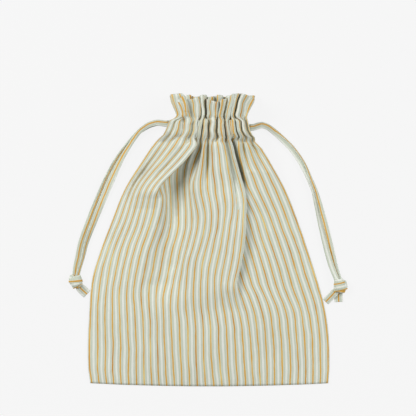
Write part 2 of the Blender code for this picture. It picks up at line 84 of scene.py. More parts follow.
# How far up and down the outline is evened out, and where that ends below the neck
ROW_EASE = 8.0
ROW_EASE_ENDS = 84.0
ROW_EASE_FADE = 10.0

# The front's two flat folds: where they are, how wide they turn, and how they open above LOOSE_FROM
CREASE_1_AT = 46.5
CREASE_2_AT = 159.2
TURN = 3.8
TURN_EASE = 0.7
LOOSE_FROM = 35.0
LOOSE_OVER = 30.0
FOLD_REACH = 45.0
LEFT_HANG = 2.2
RIGHT_HANG = 8.0
RIGHT_SINK = 0.8
RIGHT_HOLD = 0.9
RIGHT_REACH_BEFORE = 12.0
RIGHT_REACH_AFTER = 10.0

# The bottom seam
BOTTOM = -143.0
BOTTOM_BOW = 3.0
BOTTOM_BOW_REACH = 90.0

# The heading: its two rows of stitches, the panels' top edges, and the hem turned in behind them
LOWER_STITCH = 101.2
UPPER_STITCH = 119.8
FRONT_TOP = 137.6
BACK_TOP = 144.0
EDGE_ROUND = 0.6
LAST_PLAIN_ROW = 1.6
HEM_OFFSET = 0.6
HEM_STARTS = 2.4
LOOSE_HEM_ENDS = 125.0
FACING_ROWS = (UPPER_STITCH, 116.0, 110.0, 105.0, 102.6)
FACING_HALF_WIDTH = 24.4
FACING_RIPPLE = 0.3
FACING_RIPPLES = 11


class Row(NamedTuple):
    """The front's outline, creases and stripes at a height up the bag."""

    y: float
    left: float
    crease_1: float
    hidden_1: float
    stripe_10: float
    stripe_14: float
    stripe_18: float
    crease_2: float
    hidden_2: float
    stripe_27: float
    right: float


ROWS = (
    Row(-143.0, -117.6, -73.6, 0.0, -42.0, -11.0, 20.6, 38.4, 0.0, 89.0, 118.6),
    Row(-138.0, -120.0, -74.6, 0.0, -42.8, -11.8, 19.8, 38.0, 0.0, 89.4, 120.0),
    Row(-120.0, -121.0, -74.8, 0.0, -43.2, -12.4, 19.0, 37.0, 0.0, 88.8, 120.4),
    Row(-100.0, -121.0, -74.8, 0.0, -43.5, -12.8, 18.2, 35.6, 0.0, 87.7, 120.0),
    Row(-80.0, -120.0, -75.3, 0.0, -44.2, -13.6, 16.9, 33.4, 0.0, 86.2, 118.0),
    Row(-70.0, -119.4, -75.6, 0.0, -44.8, -15.6, 13.9, 31.2, 0.0, 84.4, 116.0),
    Row(-60.0, -119.0, -76.4, 0.0, -46.1, -16.2, 12.4, 27.8, 0.0, 80.5, 114.0),
    Row(-50.0, -118.4, -76.6, 0.0, -45.2, -15.2, 11.4, 25.4, 2.0, 76.4, 111.2),
    Row(-40.0, -117.0, -75.2, 0.0, -42.8, -14.8, 11.9, 26.4, 7.0, 73.0, 108.2),
    Row(-30.0, -115.0, -73.2, 0.0, -40.6, -14.4, 14.2, 30.0, 13.0, 70.0, 105.0),
    Row(-20.0, -111.4, -71.0, 0.0, -38.7, -12.8, 15.8, 32.0, 18.0, 67.1, 102.0),
    Row(-10.0, -108.2, -69.0, 0.0, -36.6, -9.7, 17.3, 33.2, 22.7, 64.0, 98.4),
    Row(0.0, -104.6, -66.0, 0.0, -34.2, -6.6, 18.9, 34.5, 27.0, 60.5, 95.4),
    Row(10.0, -100.6, -62.5, 0.0, -31.6, -3.8, 20.4, 35.2, 31.0, 57.2, 91.8),
    Row(20.0, -96.5, -59.5, 0.0, -31.1, -2.7, 21.9, 35.6, 34.0, 54.2, 88.2),
    Row(30.0, -93.0, -56.8, 0.0, -31.6, -3.8, 23.2, 36.0, 38.0, 50.3, 84.6),
    Row(40.0, -88.9, -54.6, 0.0, -31.4, -6.3, 23.2, 36.2, 42.0, 45.2, 80.6),
    Row(50.0, -84.6, -53.8, 3.0, -31.2, -8.0, 22.4, 34.4, 46.0, 40.2, 76.2),
    Row(60.0, -78.8, -43.0, 18.6, -31.8, -8.4, 20.9, 31.0, 47.2, 36.0, 71.0),
    Row(70.0, -72.2, -32.6, 30.0, -31.0, -6.5, 18.5, 28.0, 47.2, 33.0, 65.0),
    Row(80.0, -65.2, -23.0, 36.0, -27.5, -6.0, 17.6, 25.4, 47.0, 30.6, 59.2),
    Row(90.0, -58.8, -15.4, 40.0, -22.0, -5.4, 15.8, 23.0, 45.6, 29.6, 53.2),
    Row(97.5, -52.8, -11.4, 42.0, -17.0, -4.4, 14.4, 21.0, 44.0, 29.0, 45.6),
    Row(101.2, -48.8, -10.4, 42.0, -14.0, -3.0, 14.0, 20.0, 51.0, 21.6, 45.4),
    Row(104.0, -45.2, -10.2, 42.0, -14.0, -3.0, 14.0, 20.0, 51.0, 21.6, 42.6),
    Row(108.0, -43.0, -10.2, 42.0, -14.0, -3.0, 14.0, 20.2, 51.0, 21.6, 40.6),
    Row(113.0, -41.0, -10.4, 42.0, -14.0, -3.0, 14.0, 20.2, 51.0, 21.6, 39.2),
    Row(118.0, -39.0, -11.0, 42.0, -14.0, -3.0, 14.0, 19.8, 51.0, 21.6, 38.2),
    Row(120.4, -33.4, -11.4, 42.0, -14.0, -3.0, 14.0, 19.4, 51.0, 21.6, 37.2),
    Row(122.6, -31.8, -11.4, 42.0, -14.0, -3.0, 14.0, 19.4, 51.0, 21.6, 37.6),
    Row(128.0, -33.8, -11.2, 42.0, -14.0, -3.0, 14.0, 19.6, 51.0, 21.6, 39.8),
    Row(134.0, -36.4, -11.0, 42.0, -14.0, -3.0, 14.0, 19.8, 51.0, 21.6, 43.0),
    Row(137.6, -38.0, -11.0, 42.0, -14.0, -3.0, 14.0, 20.0, 51.0, 21.6, 45.0),
    Row(144.0, -39.2, -11.0, 42.0, -14.0, -3.0, 14.0, 20.0, 51.0, 21.6, 46.0),
)


class Height(NamedTuple):
    """Heights at a place up the bag, and how flat the front is across."""

    y: float
    crown: float
    seam: float
    flatness: float
    back_seam: float


HEIGHTS = (
    Height(-146.0, 1.9, 1.9, 2.0, 0.0),
    Height(-138.0, 3.6, 1.9, 2.2, 0.0),
    Height(-100.0, 8.0, 1.9, 2.4, 0.0),
    Height(-40.0, 13.6, 1.9, 2.4, 0.0),
    Height(0.0, 17.0, 2.2, 2.4, 0.2),
    Height(30.0, 20.0, 3.6, 2.4, 1.4),
    Height(60.0, 22.4, 7.6, 2.6, 5.2),
    Height(80.0, 24.8, 11.8, 2.8, 9.0),
    Height(97.5, 27.4, 15.6, 3.2, 12.6),
    Height(101.2, 29.6, 22.0, 3.6, 4.4),
    Height(106.0, 31.0, 27.2, 4.0, 0.8),
    Height(113.0, 31.2, 27.6, 4.0, 0.8),
    Height(119.8, 31.0, 27.0, 4.0, 0.8),
    Height(126.0, 31.8, 25.8, 4.0, 1.0),
    Height(137.6, 34.6, 25.6, 4.0, 3.0),
    Height(144.0, 35.6, 26.0, 4.0, 3.0),
)


class Pleat(NamedTuple):
    """A pleat: its place, the cloth it spans, how far down it runs, and where it is full."""

    at: float
    spans: float
    ends: float
    full: float


class Band(NamedTuple):
    """A pleat at one height: its place, the cloth on each side of it, and its strength."""

    at: float
    before: float
    after: float
    strength: float


class Relief(NamedTuple):
    """A soft trough or ridge along the stripes: its middle, half sizes, and height."""

    u: float
    y: float
    half_u: float
    half_y: float
    height: float
    wander: float


class Ridge(NamedTuple):
    """A ridge of the gathered heading: its cloth, its x, its height, and the valley after it."""

    u: float
    x: float
    rise: float
    valley: float


class Fold(NamedTuple):
    """A cut across gathered cloth: its places u, and x, z and slope at each."""

    u: np.ndarray
    x: np.ndarray
    z: np.ndarray
    slope: np.ndarray


BODY_PLEATS = (
    Pleat(14.0, 24.0, 20.0, 92.0),
    Pleat(36.0, 18.0, 40.0, 97.0),
    Pleat(79.3, 62.2, -70.0, 10.0),
    Pleat(99.4, 22.0, 48.0, 80.0),
    Pleat(118.0, 15.6, 20.0, 84.0),
    Pleat(150.4, 17.6, 0.0, 80.0),
    Pleat(190.0, 30.0, -20.0, 60.0),
    Pleat(219.0, 14.0, 40.0, 90.0),
    Pleat(234.0, 16.0, 50.0, 97.0),
)
# Cloth places between the front's pleats that stay at the front's own level
BODY_LEVELS = (26.5, 110.4, 125.8, 141.5, 226.5)
# The heading's ridges, with x scaled to meet the seams at each height
CASING_RIDGES = (
    Ridge(0.0, -41.4, -1.6, 0.5),
    Ridge(4.0, -38.6, 0.0, 0.5),
    Ridge(16.0, -30.5, 0.5, 0.45),
    Ridge(31.0, -20.0, 0.6, 0.5),
    Ridge(43.5, -13.2, 0.4, 0.5),
    Ridge(59.0, -11.6, -0.9, 0.5),
    Ridge(74.0, -10.1, -1.0, 0.5),
    Ridge(89.0, -8.6, 0.0, 0.5),
    Ridge(104.0, -4.2, 0.4, 0.55),
    Ridge(122.0, 3.4, 0.6, 0.45),
    Ridge(142.0, 12.2, 0.3, 0.55),
    Ridge(159.0, 18.4, 0.4, 0.5),
    Ridge(174.0, 20.1, -0.9, 0.5),
    Ridge(189.0, 21.8, -0.6, 0.5),
    Ridge(204.0, 23.8, 0.2, 0.5),
    Ridge(218.0, 29.0, 0.2, 0.4),
    Ridge(232.0, 34.8, 0.0, 0.5),
    Ridge(244.0, 39.4, -2.0, 0.5),
)
FRILL_RIDGES = (
    Ridge(0.0, -38.0, -0.6, 0.5),
    Ridge(46.5, -11.2, 0.6, 0.5),
    Ridge(91.0, -7.2, -0.8, 0.62),
    Ridge(116.5, -0.4, 0.8, 0.5),
    Ridge(127.0, 8.6, 0.8, 0.45),
    Ridge(141.0, 12.2, 0.4, 0.5),
    Ridge(159.2, 24.2, 0.2, 0.5),
    Ridge(210.0, 27.2, -0.2, 0.45),
    Ridge(231.5, 33.6, 0.4, 0.5),
    Ridge(244.0, 45.0, -0.4, 0.5),
)
HEADING_SHARPNESS = 2.2
HEADING_STEEPEST = 1.62


class OnTop(Enum):
    """Which side of a flat fold lies on top, and the sign that its turns take."""

    LEFT = 1.0
    RIGHT = -1.0


class Crease(NamedTuple):
    """A flat fold: its cloth, its place, which side lies on top, and how its layers hang."""

    u: float
    x: float
    hidden: float
    on_top: OnTop
    left_rise: float
    right_rise: float
    reach: float
    hang: float = 0.0
    hold: float = 0.0
    reach_after: float = FOLD_REACH


FAN_CREASE = Crease(13.0, -25.5, 15.6, OnTop.RIGHT, 0.0, 4.0, 14.0, reach_after=14.0)
# How far the front's top edge rises above its own level, by place across the cloth
FRONT_TOP_LIFTS = (
    (0.0, 5.8), (10.0, 6.4), (13.0, 6.2), (24.6, -3.0), (32.0, 0.2), (40.0, 0.8), (46.5, 2.6), (88.0, 4.4),
    (100.0, 4.6), (112.0, 0.5), (116.5, 0.2), (127.0, -2.4), (141.0, 0.2), (150.0, 1.8), (159.2, 5.8),
    (210.0, 6.2), (222.0, 6.6), (234.0, 5.4), (240.0, 3.0), (244.0, 0.6),
)

BACK_PLEATS = (
    Pleat(26.0, 28.0, 52.0, 97.0),
    Pleat(52.0, 24.0, 30.0, 97.0),
    Pleat(78.0, 26.0, 58.0, 97.0),
    Pleat(103.0, 24.0, 40.0, 97.0),
    Pleat(128.0, 26.0, 20.0, 97.0),
    Pleat(153.0, 24.0, 56.0, 97.0),
    Pleat(178.0, 26.0, 34.0, 97.0),
    Pleat(202.0, 22.0, 60.0, 97.0),
    Pleat(222.0, 18.0, 44.0, 97.0),
)
# The places that tile the back's casing, one pleat round each
BACK_HEADING_PLEATS = (11.0, 29.0, 55.0, 73.0, 99.0, 117.0, 144.0, 169.0, 185.0, 213.0, 233.0)
# How far the back's top edge rises above its own level, by place across the cloth
BACK_TOP_LIFTS = (
    (0.0, 0.0), (34.0, -1.0), (58.0, 0.6), (72.0, -1.6), (100.0, 0.8), (112.0, -1.8), (140.0, 0.6),
    (158.0, -1.2), (176.0, 0.4), (196.0, -1.4), (244.0, 0.0),
)

# Broad soft troughs and ridges on the front's body
FRONT_RELIEFS = (
    Relief(20.0, -10.0, 10.0, 34.0, -1.6, 6.0),
    Relief(190.0, -20.0, 16.0, 40.0, -2.0, 8.0),
    Relief(60.0, -70.0, 26.0, 16.0, 1.2, 0.0),
    Relief(120.0, -72.0, 30.0, 12.0, -1.4, 0.0),
    Relief(170.0, -78.0, 24.0, 18.0, 1.2, 0.0),
)


class Unevenness(NamedTuple):
    """One size of noise on laid cloth: its strength, its reach across and along, and its seed."""

    strength: float
    across: float
    along: float
    seed: float


# How far the cloth rises from its even course, and how far it strays sideways on the body and in
# the heading's gathers
WRINKLES = (Unevenness(0.9, 26.0, 44.0, 3.0), Unevenness(0.32, 8.0, 17.0, 10.0))
STRAYS = (Unevenness(1.5, 34.0, 42.0, 11.0), Unevenness(0.5, 12.0, 19.0, 5.0))
CRIMPS = (Unevenness(1.3, 15.0, 8.0, 21.0),)


def smooth(value: np.ndarray | float) -> np.ndarray:
    """Ease from 0 to 1 as the value goes from 0 to 1."""
    value = np.clip(value, 0.0, 1.0)
    return value * value * (3.0 - 2.0 * value)


def read_row(table: Sequence[NamedTuple], y: float) -> NamedTuple:
    """Read a table at a height up the bag, between its rows.

    Args:
        table: rows whose first column is the height.
        y: the height wanted.

    Returns:
        A row of the same kind.
    """
    heights = [row[0] for row in table]
    return type(table[0])(*(float(np.interp(y, heights, column)) for column in zip(*table)))


def read_outline(y: float) -> Row:
    """Read the front's rows at a height, eased along the body so that nothing turns a corner.

    Args:
        y: the height wanted.

    Returns:
        The row at that height.
    """
    reach = ROW_EASE * (1.0 - float(smooth((y - ROW_EASE_ENDS) / ROW_EASE_FADE)))
    near = [read_row(ROWS, y + reach * share) for share in (-1.0, -0.5, 0.0, 0.5, 1.0)]
    return Row(y, *(sum(values) / len(values) for values in list(zip(*near))[1:]))


def pleat_bands(pleats: Sequence[Pleat], y: float) -> list[Band]:
    """Find the pleats that are open at a height.

    Args:
        pleats: the panel's pleats.
        y: the height up the bag.

    Returns:
        A band for each open pleat.
    """
    bands = []
    for pleat in pleats:
        strength = float(smooth((y - pleat.ends) / (pleat.full - pleat.ends)))
        if strength > 0.0:
            bands.append(Band(pleat.at, pleat.spans / 2, pleat.spans / 2, strength))
    return bands


def heading_bands(places: Sequence[float]) -> list[Band]:
    """Bands that tile the cloth, one round each of the places, all at full strength."""
    edges = [0.0] + [(a + b) / 2 for a, b in zip(places, places[1:])] + [CLOTH_WIDTH]
    return [Band(at, at - low, high - at, 1.0) for at, low, high in zip(places, edges, edges[1:])]


def pleat_angle(u: np.ndarray, bands: Sequence[Band], depth: float, sharpness: float) -> np.ndarray:
    """The slope of the cloth through its pleats: down one side of each and up the other.

    Args:
        u: places across the cloth.
        bands: the open pleats.
        depth: how steep a pleat of full strength is, in radians.
        sharpness: 1 for a round pleat, and more for straighter sides.

    Returns:
        The slope at each place, in radians.
    """
    angle = np.zeros_like(u)
    for band in bands:
        phase = np.where(u < band.at, (u - band.at) / band.before, (u - band.at) / band.after)
        steepness = min(depth * band.strength, STEEPEST)
        pinched = np.sign(phase) * np.abs(np.clip(phase, -1.0, 1.0)) ** (1.0 / sharpness ** 0.6)
        swing = np.clip(sharpness * np.sin(math.pi * pinched), -1.0, 1.0)
        angle += np.where(abs(phase) < 1.0, steepness * swing, 0.0)
    return angle


def gather(start: float, end: float, bands: Sequence[Band], width: float, deepest: float,
           sharpness: float = 1.0) -> Fold:
    """Fold a stretch of cloth to a width, without stretching it.

    Args:
        start: where the stretch starts across the cloth.
        end: where it ends.
        bands: the pleats that take up what is spare.
        width: the width that it has to fit.
        deepest: the steepest slope allowed, past which the stretch is pressed to fit.
        sharpness: 1 for round pleats, and more for straighter sides.

    Returns:
        The folded stretch, from x = 0 to the width.
    """
    count = max(2, int(round((end - start) / FINE_STEP)) + 1)
    u = np.linspace(start, end, count)
    middles = (u[1:] + u[:-1]) / 2
    step = (end - start) / (count - 1)
    shallow, deep = 0.0, deepest
    for _ in range(DEPTH_HALVINGS):
        depth = (shallow + deep) / 2
        if np.cos(pleat_angle(middles, bands, depth, sharpness)).sum() * step > width:
            shallow = depth
        else:
            deep = depth
    angle = pleat_angle(middles, bands, shallow, sharpness)
    x = np.concatenate(([0.0], np.cumsum(np.cos(angle)) * step))
    z = np.concatenate(([0.0], np.cumsum(np.sin(angle)) * step))
    return Fold(u, x * width / x[-1], z, pleat_angle(u, bands, shallow, sharpness))


def flat_fold(crease: Crease) -> Fold:
    """A flat fold: the cloth turns under or over itself, runs back, and turns again.

    Args:
        crease: the fold's cloth and which side lies on top.

    Returns:
        The fold, from its crease at x = 0 and z = 0.
    """
    strength = min(1.0, (crease.hidden / (2 * TURN)) ** TURN_EASE)
    flap = max(0.0, crease.hidden / 2 - TURN)
    length = 2 * TURN + flap
    u = np.linspace(0.0, length, max(2, int(round(length / FINE_STEP * 2))) + 1)
    turning = np.clip(u / TURN, 0.0, 1.0) - np.clip((u - TURN - flap) / TURN, 0.0, 1.0)
    angle = -crease.on_top.value * math.pi * strength * turning
    middles = (angle[1:] + angle[:-1]) / 2
    step = length / (len(u) - 1)
    x = np.concatenate(([0.0], np.cumsum(np.cos(middles)) * step))
    z = np.concatenate(([0.0], np.cumsum(np.sin(middles)) * step))
    z -= crease.hang * np.clip((u - TURN / 2) / (flap + TURN), 0.0, 1.0)
    return Fold(crease.u + u, x, z, angle)


def join_folds(folds: Sequence[Fold]) -> Fold:
    """Join stretches of a cut into one."""
    return Fold(*(np.concatenate(values) for values in zip(*folds)))


def fold_section(left: float, right: float, creases: Sequence[Crease],
                 anchors: Sequence[tuple[float, float]], bands: Sequence[Band],
                 level_at: Sequence[float], deepest: float, sharpness: float = 1.0) -> Fold:
    """One cut across the front, between its side seams.

    Args:
        left: where the left seam is.
        right: where the right seam is.
        creases: the flat folds, from left to right.
        anchors: cloth places that keep to an x of their own.
        bands: the soft pleats.
        level_at: cloth places between pleats that stay at the front's own level.
        deepest: the steepest slope of a soft pleat, in radians.
        sharpness: 1 for round pleats, and more for straighter sides.

    Returns:
        The cut, with its z measured from the front's own level.
    """
    parts: list[Fold] = []
    start, x_start = 0.0, left
    for index in range(len(creases) + 1):
        crease = creases[index] if index < len(creases) else None
        stop, x_stop = (crease.u, crease.x) if crease else (CLOTH_WIDTH, right)
        low_end, high_end = start + ANCHOR_CLEARANCE, stop - ANCHOR_CLEARANCE
        places = [(start, x_start)]
        places += [anchor for anchor in anchors if low_end < anchor[0] < high_end]
        places.append((stop, x_stop))
        pieces = []
        height = 0.0
        for (low, x_low), (high, x_high) in zip(places, places[1:]):
            piece = gather(low, high, bands, x_high - x_low, deepest, sharpness)
            pieces.append(piece._replace(x=piece.x + x_low, z=piece.z + height))
            height = pieces[-1].z[-1]
        stretch = join_folds(pieces)
        level = [start, *(place for place in level_at if low_end < place < high_end), stop]
        stretch.z[:] -= np.interp(stretch.u, level, np.interp(level, stretch.u, stretch.z))
        if index:
            before = creases[index - 1]
            along = (stretch.u - start - before.hold) / before.reach_after
            stretch.z[:] += (before.right_rise - before.hang) * (1.0 - smooth(along))
        if crease:
            stretch.z[:] += crease.left_rise * smooth(1.0 - (stop - stretch.u) / crease.reach)
        parts.append(stretch)
        if crease:
            fold = flat_fold(crease)
            parts.append(fold._replace(x=fold.x + crease.x, z=fold.z + crease.left_rise))
            start, x_start = float(fold.u[-1]), crease.x + float(fold.x[-1])
    return join_folds(parts)


def fold_drop(hidden: float) -> float:
    """How far a flat fold's lower side lies below its upper side."""
    return abs(float(flat_fold(Crease(0.0, 0.0, hidden, OnTop.LEFT, 0.0, 0.0, 1.0)).z[-1]))


def stripe_place(number: int) -> float:
    """Where a gold stripe is across the flat cloth."""
    return FIRST_STRIPE + STRIPE_REPEAT * number


def front_body_fold(row: Row) -> Fold:
    """One cut across the front below its casing.

    Args:
        row: the outline, creases and stripes at the cut's height.

    Returns:
        The cut, with its z measured from the front's own level.
    """
    loose = float(smooth((row.y - LOOSE_FROM) / LOOSE_OVER))
    left_drop, right_drop = fold_drop(row.hidden_1), fold_drop(row.hidden_2)
    flap = max(0.0, row.hidden_2 / 2 - TURN)
    left_crease = Crease(CREASE_1_AT, row.crease_1, row.hidden_1, OnTop.LEFT, left_drop, 0.0, FOLD_REACH,
                         hang=LEFT_HANG * loose)
    right_crease = Crease(CREASE_2_AT, row.crease_2, row.hidden_2, OnTop.LEFT,
                          left_rise=right_drop * (1.0 - RIGHT_SINK * loose),
                          right_rise=-right_drop * RIGHT_SINK * loose,
                          reach=FOLD_REACH + (RIGHT_REACH_BEFORE - FOLD_REACH) * loose,
                          hang=RIGHT_HANG * loose,
                          hold=flap * RIGHT_HOLD * loose,
                          reach_after=FOLD_REACH + (RIGHT_REACH_AFTER - FOLD_REACH) * loose)
    anchors = ((stripe_place(10), row.stripe_10), (stripe_place(14), row.stripe_14),
               (stripe_place(18), row.stripe_18), (stripe_place(27), row.stripe_27))
    return fold_section(row.left, row.right, (left_crease, right_crease), anchors,
                        pleat_bands(BODY_PLEATS, row.y), BODY_LEVELS, BODY_STEEPEST)


def heading_fold(row: Row, ridges: Sequence[Ridge], creases: Sequence[Crease]) -> Fold:
    """One cut across the front's casing or frill.

    Args:
        row: the outline at the cut's height.
        ridges: the gathered ridges, from seam to seam.
        creases: the flat folds among them.

    Returns:
        The cut, with its z measured from the front's own level.
    """
    scale = (row.right - row.left) / (ridges[-1].x - ridges[0].x)
    anchors = [(ridge.u, row.left + (ridge.x - ridges[0].x) * scale) for ridge in ridges[1:-1]]
    placed = [crease._replace(x=row.left + (crease.x - ridges[0].x) * scale) for crease in creases]
    bands = []
    for ridge, after in zip(ridges, ridges[1:]):
        start, span = ridge.u, after.u - ridge.u
        for fold in (flat_fold(crease) for crease in placed if ridge.u <= crease.u < after.u):
            start = float(fold.u[-1])
            span = after.u - start
        down, up = span * ridge.valley, span * (1.0 - ridge.valley)
        bands.append(Band(start + down, down, up, 1.0))
    cut = fold_section(row.left, row.right, placed, anchors, bands, [ridge.u for ridge in ridges[1:-1]],
                       HEADING_STEEPEST, HEADING_SHARPNESS)
    rise = np.interp(cut.u, [ridge.u for ridge in ridges], [ridge.rise for ridge in ridges])
    return cut._replace(z=cut.z * HEADING_PRESS + rise)


def level_line(fold: Fold, bands: Sequence[Band]) -> np.ndarray:
    """The line through a cut at its ends and its pleats' edges.

    Args:
        fold: the cut.
        bands: its pleats.

    Returns:
        The line's z at each of the cut's places.
    """
    edges = [band.at - band.before for band in bands] + [band.at + band.after for band in bands]
    level = sorted({fold.u[0], fold.u[-1]} | {edge for edge in edges if fold.u[0] < edge < fold.u[-1]})
    return np.interp(fold.u, level, np.interp(level, fold.u, fold.z))


def back_fold(bands: Sequence[Band], left: float, right: float, press: float) -> Fold:
    """One cut across the back.

    Args:
        bands: the pleats that are open at its height.
        left: where the left seam is.
        right: where the right seam is.
        press: how much of the pleats' height is left when they are pressed.

    Returns:
        The cut, with its z measured from the back's own level.
    """
    fold = gather(0.0, CLOTH_WIDTH, bands, right - left, DEEPEST)
    return fold._replace(x=fold.x + left, z=(fold.z - level_line(fold, bands)) * press)


def at_places(fold: Fold, u: np.ndarray) -> np.ndarray:
    """The fold's x, z and slope at some places across the cloth, as three rows."""
    return np.array([np.interp(u, fold.u, values) for values in (fold.x, fold.z, fold.slope)])


def blend_values(low: np.ndarray, high: np.ndarray, share: float) -> np.ndarray:
    """Mix two sets of values."""
    return low + (high - low) * share


def uneven(kinds: Sequence[Unevenness], u: float, y: float) -> float:
    """The sum of some sizes of noise at a place, in millimetres."""
    return sum(kind.strength * noise.noise(Vector((u / kind.across, y / kind.along, kind.seed)))
               for kind in kinds)


class StripeShade(Enum):
    """The cloth's colours, in linear light."""

    GROUND = (0.632, 0.660, 0.574)
    SAGE = (0.538, 0.584, 0.480)
    WHITE = (0.740, 0.760, 0.690)
    GOLD = (0.650, 0.372, 0.064)
    OCHRE = (0.500, 0.240, 0.040)
    STRAW = (0.760, 0.560, 0.170)



@dataclass(frozen=True)
class StripedCotton:
    """Plain-woven cotton with gold, sage and white stripes, read from the cloth's flat places."""

    name: str
    repeat: float = STRIPE_REPEAT
    first: float = FIRST_STRIPE
    stripe_wobble: float = 0.7
    wobble_scale: float = 0.09
    gold_reach: float = 0.128
    gold_fade: float = 0.062
    gold_slub: float = 0.10
    thread_pitch: float = 0.42
    slub_grain: Point = (2.2, 0.11, 1.0)
    dye_grain: Point = (0.17, 0.021, 1.0)
    cloud_scale: float = 0.035
    slub_tone: float = 0.16
    cloud_tone: float = 0.10
    darkest_tone: float = 0.87
    weave_tone: float = 0.10
    weave_darkest: float = 0.95
    slub_height: float = 0.8
    bump_strength: float = 0.35
    bump_depth: float = 0.12
    roughness: float = 0.86
    sheen: float = 0.22
    specular: float = 0.22

    def material(self) -> bpy.types.Material:
        """Make the cloth's material.

        Returns:
            A material that reads the mesh's UV map named cloth, in millimetres.
        """
        graph = Graph(self.name)
        graph.shader.inputs["Roughness"].default_value = self.roughness
        graph.shader.inputs["Sheen Weight"].default_value = self.sheen
        graph.shader.inputs["Specular IOR Level"].default_value = self.specular
        place, u, v = graph.cloth_place()
        slubs = graph.noise(graph.scaled(place, self.slub_grain), scale=1.0, detail=3.0)
        weave = self.weave(graph, u, v)
        color = self.stripe_color(graph, place, u, slubs)
        graph.color(graph.tint(color, self.brightness(graph, place, slubs, weave)))
        relief = graph.math("ADD", weave, graph.math("MULTIPLY", slubs, self.slub_height))
        graph.bump(relief, self.bump_strength, self.bump_depth)
        return graph.material

    def stripe_color(self, graph: "Graph", place: bpy.types.NodeSocket, u: bpy.types.NodeSocket,
                     slubs: bpy.types.NodeSocket) -> bpy.types.NodeSocket:
        """The stripes' colours across the cloth.

        Args:
            graph: the material's nodes.
            place: the place on the flat cloth.
            u: the place across it.
            slubs: the thickness of the threads there.

        Returns:
            The colour's socket.
        """
        wobble = graph.noise(place, scale=self.wobble_scale, detail=2.0)
        wobble = graph.math("MULTIPLY", graph.math("SUBTRACT", wobble, 0.5), self.stripe_wobble)
        from_first = graph.math("SUBTRACT", graph.math("ADD", u, wobble), self.first)
        phase = graph.math("FRACT", graph.math("DIVIDE", from_first, self.repeat))
        stripes = graph.ramp(phase, (
            (0.000, StripeShade.GROUND), (0.130, StripeShade.GROUND), (0.180, StripeShade.SAGE),
            (0.330, StripeShade.SAGE), (0.410, StripeShade.WHITE), (0.590, StripeShade.WHITE),
            (0.670, StripeShade.SAGE), (0.820, StripeShade.SAGE), (0.870, StripeShade.GROUND),
            (1.000, StripeShade.GROUND),
        ))
        dyed = graph.noise(graph.scaled(place, self.dye_grain), scale=1.0, detail=2.0)
        thread = graph.ramp(dyed, (
            (0.30, StripeShade.OCHRE), (0.46, StripeShade.GOLD), (0.56, StripeShade.GOLD),
            (0.72, StripeShade.STRAW),
        ))
        slubby = graph.math("MULTIPLY", graph.math("SUBTRACT", slubs, 0.5), self.gold_slub)
        near = graph.math("ADD", graph.math("PINGPONG", phase, 0.5), slubby)
        gold = graph.math("DIVIDE", graph.math("SUBTRACT", self.gold_reach, near), self.gold_fade)
        return graph.mix(gold, stripes, thread)

    def brightness(self, graph: "Graph", place: bpy.types.NodeSocket, slubs: bpy.types.NodeSocket,
                   weave: bpy.types.NodeSocket) -> bpy.types.NodeSocket:
        """How bright the cloth is, with its slubs, its clouds and its weave.

        Args:
            graph: the material's nodes.
            place: the place on the flat cloth.
            slubs: the thickness of the threads there.
            weave: over and under of the weave there.

        Returns:
            The socket of a value near 1.
        """
        cloudy = graph.noise(place, scale=self.cloud_scale, detail=2.0)
        tone = graph.math("ADD", graph.math("MULTIPLY", slubs, self.slub_tone),
                          graph.math("MULTIPLY", cloudy, self.cloud_tone))
        woven = graph.math("ADD", graph.math("MULTIPLY", weave, self.weave_tone), self.weave_darkest)
        return graph.math("MULTIPLY", graph.math("ADD", tone, self.darkest_tone), woven)

    def weave(self, graph: "Graph", u: bpy.types.NodeSocket,
              v: bpy.types.NodeSocket) -> bpy.types.NodeSocket:
        """Over and under of the plain weave.

        Args:
            graph: the material's nodes.
            u: the place across the cloth.
            v: the place up it.

        Returns:
            The socket of a value from 0 to 1.
        """
        turn = 2 * math.pi / self.thread_pitch
        across = graph.math("SINE", graph.math("MULTIPLY", u, turn))
        along = graph.math("SINE", graph.math("MULTIPLY", v, turn))
        return graph.math("ADD", graph.math("MULTIPLY", graph.math("MULTIPLY", across, along), 0.5), 0.5)


@dataclass(frozen=True)
class SewingThread:
    """Pale cotton sewing thread, twisted."""

    name: str
    color: tuple[float, float, float] = (0.70, 0.71, 0.63)
    twist_pitch: float = 0.35
    twist_tone: float = 0.10
    twist_middle: float = 0.92
    bump_strength: float = 0.5
    bump_depth: float = 0.08
    roughness: float = 0.7
    sheen: float = 0.2

    def material(self) -> bpy.types.Material:
        """Make the thread's material.

        Returns:
            A material with a fine twist along each stitch.
        """
        graph = Graph(self.name)
        graph.shader.inputs["Roughness"].default_value = self.roughness
        graph.shader.inputs["Sheen Weight"].default_value = self.sheen
        _, around, along = graph.cloth_place()
        turned = graph.math("MULTIPLY", along, 2 * math.pi / self.twist_pitch)
        twist = graph.math("SINE", graph.math("ADD", turned, around))
        base = graph.add("ShaderNodeRGB")
        base.outputs[0].default_value = (*self.color, 1.0)
        shade = graph.math("ADD", graph.math("MULTIPLY", twist, self.twist_tone), self.twist_middle)
        graph.color(graph.tint(base.outputs[0], shade))
        graph.bump(twist, self.bump_strength, self.bump_depth)
        return graph.material


